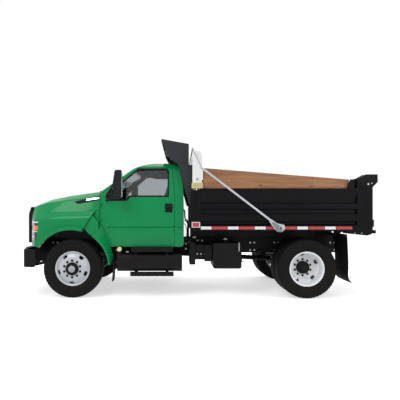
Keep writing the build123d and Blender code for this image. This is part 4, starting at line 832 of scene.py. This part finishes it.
def make_bed_details():
    """Tower blocks and bolts, the tarp arms' feet, reflectors, lamps and the tape at the tail."""
    arm = node_bodies["tarp_frame"]
    face = 1170.0
    for side_name, side in SIDES:
        shape = bmesh.new()
        add_block(shape, 2047, 2239, side * 1099, side * 1201, 1883, 1977)
        add_piece("tower_block_" + side_name, shape, "bed", "zinc", 4)
        shape = bmesh.new()
        for x, z, radius in ((2144, 2040, 14), (2066, 2552, 8)):
            add_rod(shape, (x, side * (face - 1), z), (x, side * (face + 3), z), radius * 1.4, 18)
            add_rod(shape, (x, side * (face + 3), z), (x, side * (face + 12), z), radius, 6)
        for x, z, radius in ((5039, 1952, 17), (5098, 1965, 11), (4810, 1123, 9), (4930, 1123, 9)):
            add_rod(shape, (x, side * (BODY_HALF - 40), z), (x, side * (BODY_HALF + 7), z), radius, 18)
        add_piece("bed_bolts_" + side_name, shape, "bed", "steel_bright")
        shape = bmesh.new()
        for x, z in ((3464, 1251), (3515, 1215)):
            add_rod(shape, (x, side * 1298, z), (x, side * 1306, z), 13, 6)
        add_piece("tarp_arm_bolts_" + side_name, shape, arm, "steel_bright")
        shape = bmesh.new()
        y0, y1 = sorted((side * 1296.0, side * 1299.0))
        add_plate(shape, [(x, y0, z) for x, z in ARM_FOOT], [(x, y1, z) for x, z in ARM_FOOT])
        add_piece("tarp_arm_foot_" + side_name, shape, arm, "cast_grey", 1.2)
        for name, finish, low, high, lift in (
                ("reflector_back_", "tape_white", (2048, 1216), (2188, 1308), 2.0),
                ("reflector_", "tape_red", (2060, 1226), (2176, 1298), 3.0)):
            shape = bmesh.new()
            side_patch(shape, ["bed_side_" + side_name], side, low, high, lift)
            add_piece(name + side_name, shape, "bed", finish)
        lens = bmesh.new()
        ring = bmesh.new()
        y = side * (BODY_HALF - 76)
        for z in (1425.0, 1550.0):
            found = cast(["bed_side_" + side_name, "bed_floor"], place(5600, y, z), Vector((-1, 0, 0)))
            tail = found[0].x / MM + MIDDLE
            add_rod(ring, (tail - 2, y, z), (tail + 7, y, z), 56, 32)
            add_rod(lens, (tail + 4, y, z), (tail + 16, y, z), 50, 32, 42)
        add_piece("tail_lamp_rings_" + side_name, ring, "bed", "seal")
        add_piece("tail_lamp_lenses_" + side_name, lens, "bed", "red_lens")
    for color in ("tape_red", "tape_white"):
        shape = bmesh.new()
        y = -1003.0
        white = True
        while y < 980:
            length = WHITE_STRIP if white else RED_STRIP
            if white == (color == "tape_white"):
                add_block(shape, TAPE_FRONT - 1, TAPE_REAR, y, y + length - 2, 1112, 1158)
            y += length
            white = not white
        add_piece(color + "_rear", shape, "bed", color)


RAIL_BOLTS = [(2103, 1000), (2137, 1000), (2185, 940), (2267, 940), (2021, 910), (2103, 910), (2185, 854),
              (2267, 854), (2185, 769), (2267, 769), (2432, 893), (2432, 769), (1960, 880), (1960, 780)]
RAIL_BOLTS += [(x, z) for x in (-560, -480, 640, 720, 3180, 3260, 3640, 3720, 4300, 4380, 4700, 4780)
               for z in (760, 900)]
HOSES = (("hose_main", [(1908, -300, 1535), (1945, -300, 1510), (1938, -300, 1400), (1952, -300, 1330),
                        (2000, -300, 1260), (2012, -300, 1180), (2008, -300, 1060), (2018, -300, 960)], 14),
         ("hose_second", [(1908, -255, 1300), (1950, -255, 1310), (1985, -260, 1345), (2000, -262, 1300),
                          (1990, -262, 1150), (1996, -260, 960)], 8),
         ("hose_right", [(1908, 280, 1250), (1950, 280, 1240), (1985, 282, 1160), (1992, 282, 1050),
                         (1985, 282, 960)], 9))


def make_chassis_details():
    """Frame bolts, hoses, the filler cap, tread studs, gauge and drain."""
    chassis = node_bodies["frame_rail_left"]
    shape = bmesh.new()
    for x, z in RAIL_BOLTS:
        for side in (-1, 1):
            add_rod(shape, (x, side * 429, z), (x, side * 434, z), 17, 16)
            add_rod(shape, (x, side * 434, z), (x, side * 446, z), 12, 6)
    add_piece("frame_bolts", shape, chassis, "steel_bright")
    shape = bmesh.new()
    for name, points, radius in HOSES:
        add_hose(name, points, radius)
        x, y, z = points[0]
        add_rod(shape, (x - 14, y, z), (x + 12, y, z), radius + 6, 6)
        x, y, z = points[-1]
        add_rod(shape, (x, y, z - 14), (x, y, z + 26), radius + 5, 6)
    add_rod(shape, (2662, -830, 985), (2662, -830, 1000), 52, 28)
    add_rod(shape, (2662, -830, 1000), (2662, -830, 1014), 18, 16)
    add_rod(shape, (2912, -830, 592), (2978, -830, 592), 13, 14)
    add_rod(shape, (2958, -830, 592), (2958, -830, 640), 7, 10)
    add_block(shape, 2860, 2876, -1106, -1099, 800, 950)
    for x in (2150, 2215, 2290, 2352):
        add_rod(shape, (x, -1010, 745), (x, -955, 745), 14, 6)
    add_block(shape, 925, 968, -1160, -1120, 790, 806)
    add_piece("fittings", shape, chassis, "steel_bright")
    shape = bmesh.new()
    add_turned(shape, [(-1088, 40), (-1140, 38), (-1147, 33), (-1147, 12), (-1153, 10), (-1153, 0.1),
                       (-1088, 0.1)], 804, 837, 36)
    add_piece("filler_cap", shape, chassis, "cap_cream")
    add_hose("filler_neck", [(804, -1040, 740), (804, -1045, 790), (804, -1062, 832), (804, -1095, 837)], 26)
    shape = bmesh.new()
    for side in (-1, 1):
        for row in range(5):
            upper = side * (958 + row * 48)
            lower = side * (985 + row * 48)
            for number in range(22):
                x = 1036 + number * 31.5 + (row % 2) * 12
                add_rod(shape, (x, upper, 863), (x, upper, 867), 8, 10, 6)
                if row < 4:
                    add_rod(shape, (x, lower, 409), (x, lower, 413), 8, 10, 6)
    add_piece("step_studs", shape, chassis, "chassis_black")


FLAP_COLUMNS = 10
FLAP_THICKNESS = 0.009
FRONT_FLAP = [(690, 640), (694, 520), (688, 400), (684, 330), (678, 269)]
REAR_FLAP = [(4690, 1106), (4694, 900), (4704, 700), (4704, 540), (4698, 420), (4706, 350), (4734, 302),
             (4778, 266)]


def make_flaps():
    """Rubber flaps, the rear pair curled towards the tail at the foot, each on its bar."""
    body = node_bodies["mud_flaps"]
    for name, line, inner, outer, bar_inner, (x0, x1, z0, z1) in (
            ("front", FRONT_FLAP, 900, 1150, 900, (692, 764, 600, 630)),
            ("rear", REAR_FLAP, 640, 1215, 430.5, (4640, 4684, 1050, 1100))):
        for side_name, side in SIDES:
            shape = bmesh.new()
            grid = []
            for x, z in line:
                row = []
                for column in range(FLAP_COLUMNS + 1):
                    half = inner + (outer - inner) * column / FLAP_COLUMNS
                    wave = 5 * math.sin(3.1 * column / FLAP_COLUMNS * 2 + z / 300)
                    row.append(shape.verts.new(place(x + wave, side * half, z)))
                grid.append(row)
            for row, after in zip(grid, grid[1:]):
                join_rows(shape, row, after, closed=False)
            flap = finish_mesh(name + "_flap_" + side_name, shape, body, "rubber_sheet", 80)
            thick = flap.modifiers.new("thick", "SOLIDIFY")
            thick.thickness = FLAP_THICKNESS
            thick.offset = 0
            soften(flap)
            shape = bmesh.new()
            add_block(shape, x0, x1, side * bar_inner, side * outer, z0, z1)
            add_piece(name + "_flap_bar_" + side_name, shape, body, "chassis_black",
                      4)
    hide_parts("mud_flaps")


RAIL_TAPE = {
    "tape_white": [(2200, 2381), (2659, 2840), (3118, 3299), (3837, 4018), (4307, 4488)],
    "tape_red": [(2385, 2655), (2843, 3113), (3302, 3564), (3567, 3829), (4029, 4299), (4499, 4768)],
}


def make_tape():
    """Red and white marking tape along both lower rails."""
    for side_name, side in SIDES:
        for color, strips in RAIL_TAPE.items():
            shape = bmesh.new()
            for x0, x1 in strips:
                add_block(shape, x0, x1, side * (BODY_HALF - 1), side * (BODY_HALF + 1.2), 1183, 1232)
            add_piece(color + "_" + side_name, shape, "bed", color)


FOCAL_PIXELS = 383.3
PICTURE_PIXELS = 400.0
SENSOR = 36.0


def make_camera():
    """The photograph's camera: level, square to the truck's left side."""
    camera_data = bpy.data.cameras.new("camera")
    camera_data.sensor_width = SENSOR
    camera_data.lens = FOCAL_PIXELS / PICTURE_PIXELS * SENSOR
    camera_data.shift_x = 0.05
    camera_data.shift_y = 0.0325
    camera = new_object("camera", camera_data)
    camera.location = place(1848.0, -7720.0, 1462.0)
    camera.rotation_euler = (math.radians(90), 0, 0)
    bpy.context.scene.camera = camera


def background_seen(tree):
    """1 where a camera, glossy or transmitted ray sees the background, 0 where it only lights the object."""
    path = tree.nodes.new("ShaderNodeLightPath")
    seen = path.outputs["Is Camera Ray"]
    for ray in ("Is Glossy Ray", "Is Transmission Ray"):
        seen = calculated(tree, "MAXIMUM", seen, path.outputs[ray])
    return seen


FLOOR_GLOW = 0.57
WORLD_LIGHT = 0.5
LAMPS = (("key", (-5.5, -8.0, 8.5), 6.0, 520.0), ("fill", (6.5, -7.0, 5.0), 6.0, 200.0),
         ("back", (2.0, 9.0, 7.0), 6.0, 260.0), ("top", (0.0, 0.5, 10.0), 8.0, 260.0))
LAMP_TARGET = Vector((0, 0, 1.2))


def make_stage():
    """A pale floor, a white backdrop for the camera, and soft studio light."""
    shape = bmesh.new()
    bmesh.ops.create_grid(shape, x_segments=1, y_segments=1, size=60.0)
    floor = mesh_object("floor", shape)
    made = bpy.data.materials.new("floor_white")
    made.use_nodes = True
    tree = made.node_tree
    shader = tree.nodes["Principled BSDF"].inputs
    shader["Base Color"].default_value = (0.86, 0.86, 0.86, 1)
    shader["Roughness"].default_value = 0.9
    shader["Emission Color"].default_value = (1, 1, 1, 1)
    glow = calculated(tree, "MULTIPLY", background_seen(tree), FLOOR_GLOW)
    tree.links.new(glow, shader["Emission Strength"])
    floor.data.materials.append(made)

    world = bpy.data.worlds.new("studio")
    bpy.context.scene.world = world
    world.use_nodes = True
    tree = world.node_tree
    background = tree.nodes["Background"].inputs
    background["Color"].default_value = (1, 1, 1, 1)
    strength = map_range(tree, background_seen(tree), WORLD_LIGHT, 1.0)
    tree.links.new(strength, background["Strength"])
    for name, location, size, power in LAMPS:
        lamp_data = bpy.data.lights.new(name, "AREA")
        lamp_data.size = size
        lamp_data.energy = power
        lamp = new_object(name, lamp_data)
        lamp.location = location
        lamp.rotation_euler = (LAMP_TARGET - Vector(location)).to_track_quat("-Z", "Y").to_euler()
    bpy.context.scene.view_settings.view_transform = "Standard"


DRESSED = {
    "cab_shell": 10, "door_left": 4, "door_right": 4, "hood": 8, "fender_extensions": 6, "bumper": 10,
    "grille": 3, "headlamps": 6, "hood_vents": 3, "mirror_left": 5, "mirror_right": 5, "bed_floor": 2,
    "bed_side_left": 6, "bed_side_right": 6, "bulkhead": 3, "cab_shield": 2, "tailgate": 4, "side_boards": 3,
    "tarp_towers": 2, "tarp_frame": 2, "step_tanks": 12, "tank_straps": 2, "tank_steps": 3,
    "hydraulic_tank": 8, "exhaust": 4, "frame_rail_left": 3, "frame_rail_right": 3,
    "crossmembers": 3, "front_axle": 4, "leaf_springs": 3, "rear_axle": 3, "knuckle_left": 3,
    "knuckle_right": 3, "engine": 8, "radiator": 3, "driveshaft": 2, "subframe": 2, "front_brackets": 3,
    "hood_pivots": 2, "hoist_barrel": 2, "hoist_rod": 2, "hoist_brackets": 2, "dash": 14,
    "steering_wheel": 2, "cab_glass": 0, "door_glass_left": 0, "door_glass_right": 0,
}

make_camera()
make_stage()
make_wheels()
NODE_FINISHES = {"headlamps": "lens_dark", "hood_vents": "seal", "grille": "hub_black"}
for dressed_node, edge_width in DRESSED.items():
    skin = dress(dressed_node, edge_width, finish=NODE_FINISHES.get(dressed_node))
    if dressed_node in ("cab_shell", "door_left", "door_right"):
        make_cab_lining(skin, (1180, 0, 1600))
    if dressed_node == "hoist_barrel":
        slim_trunnion(skin)
make_window_seals()
make_door_trim()
make_screen_trim()
make_hood_trim()
make_seats()
make_tarp()
make_bed_details()
make_chassis_details()
make_flaps()
make_tape()
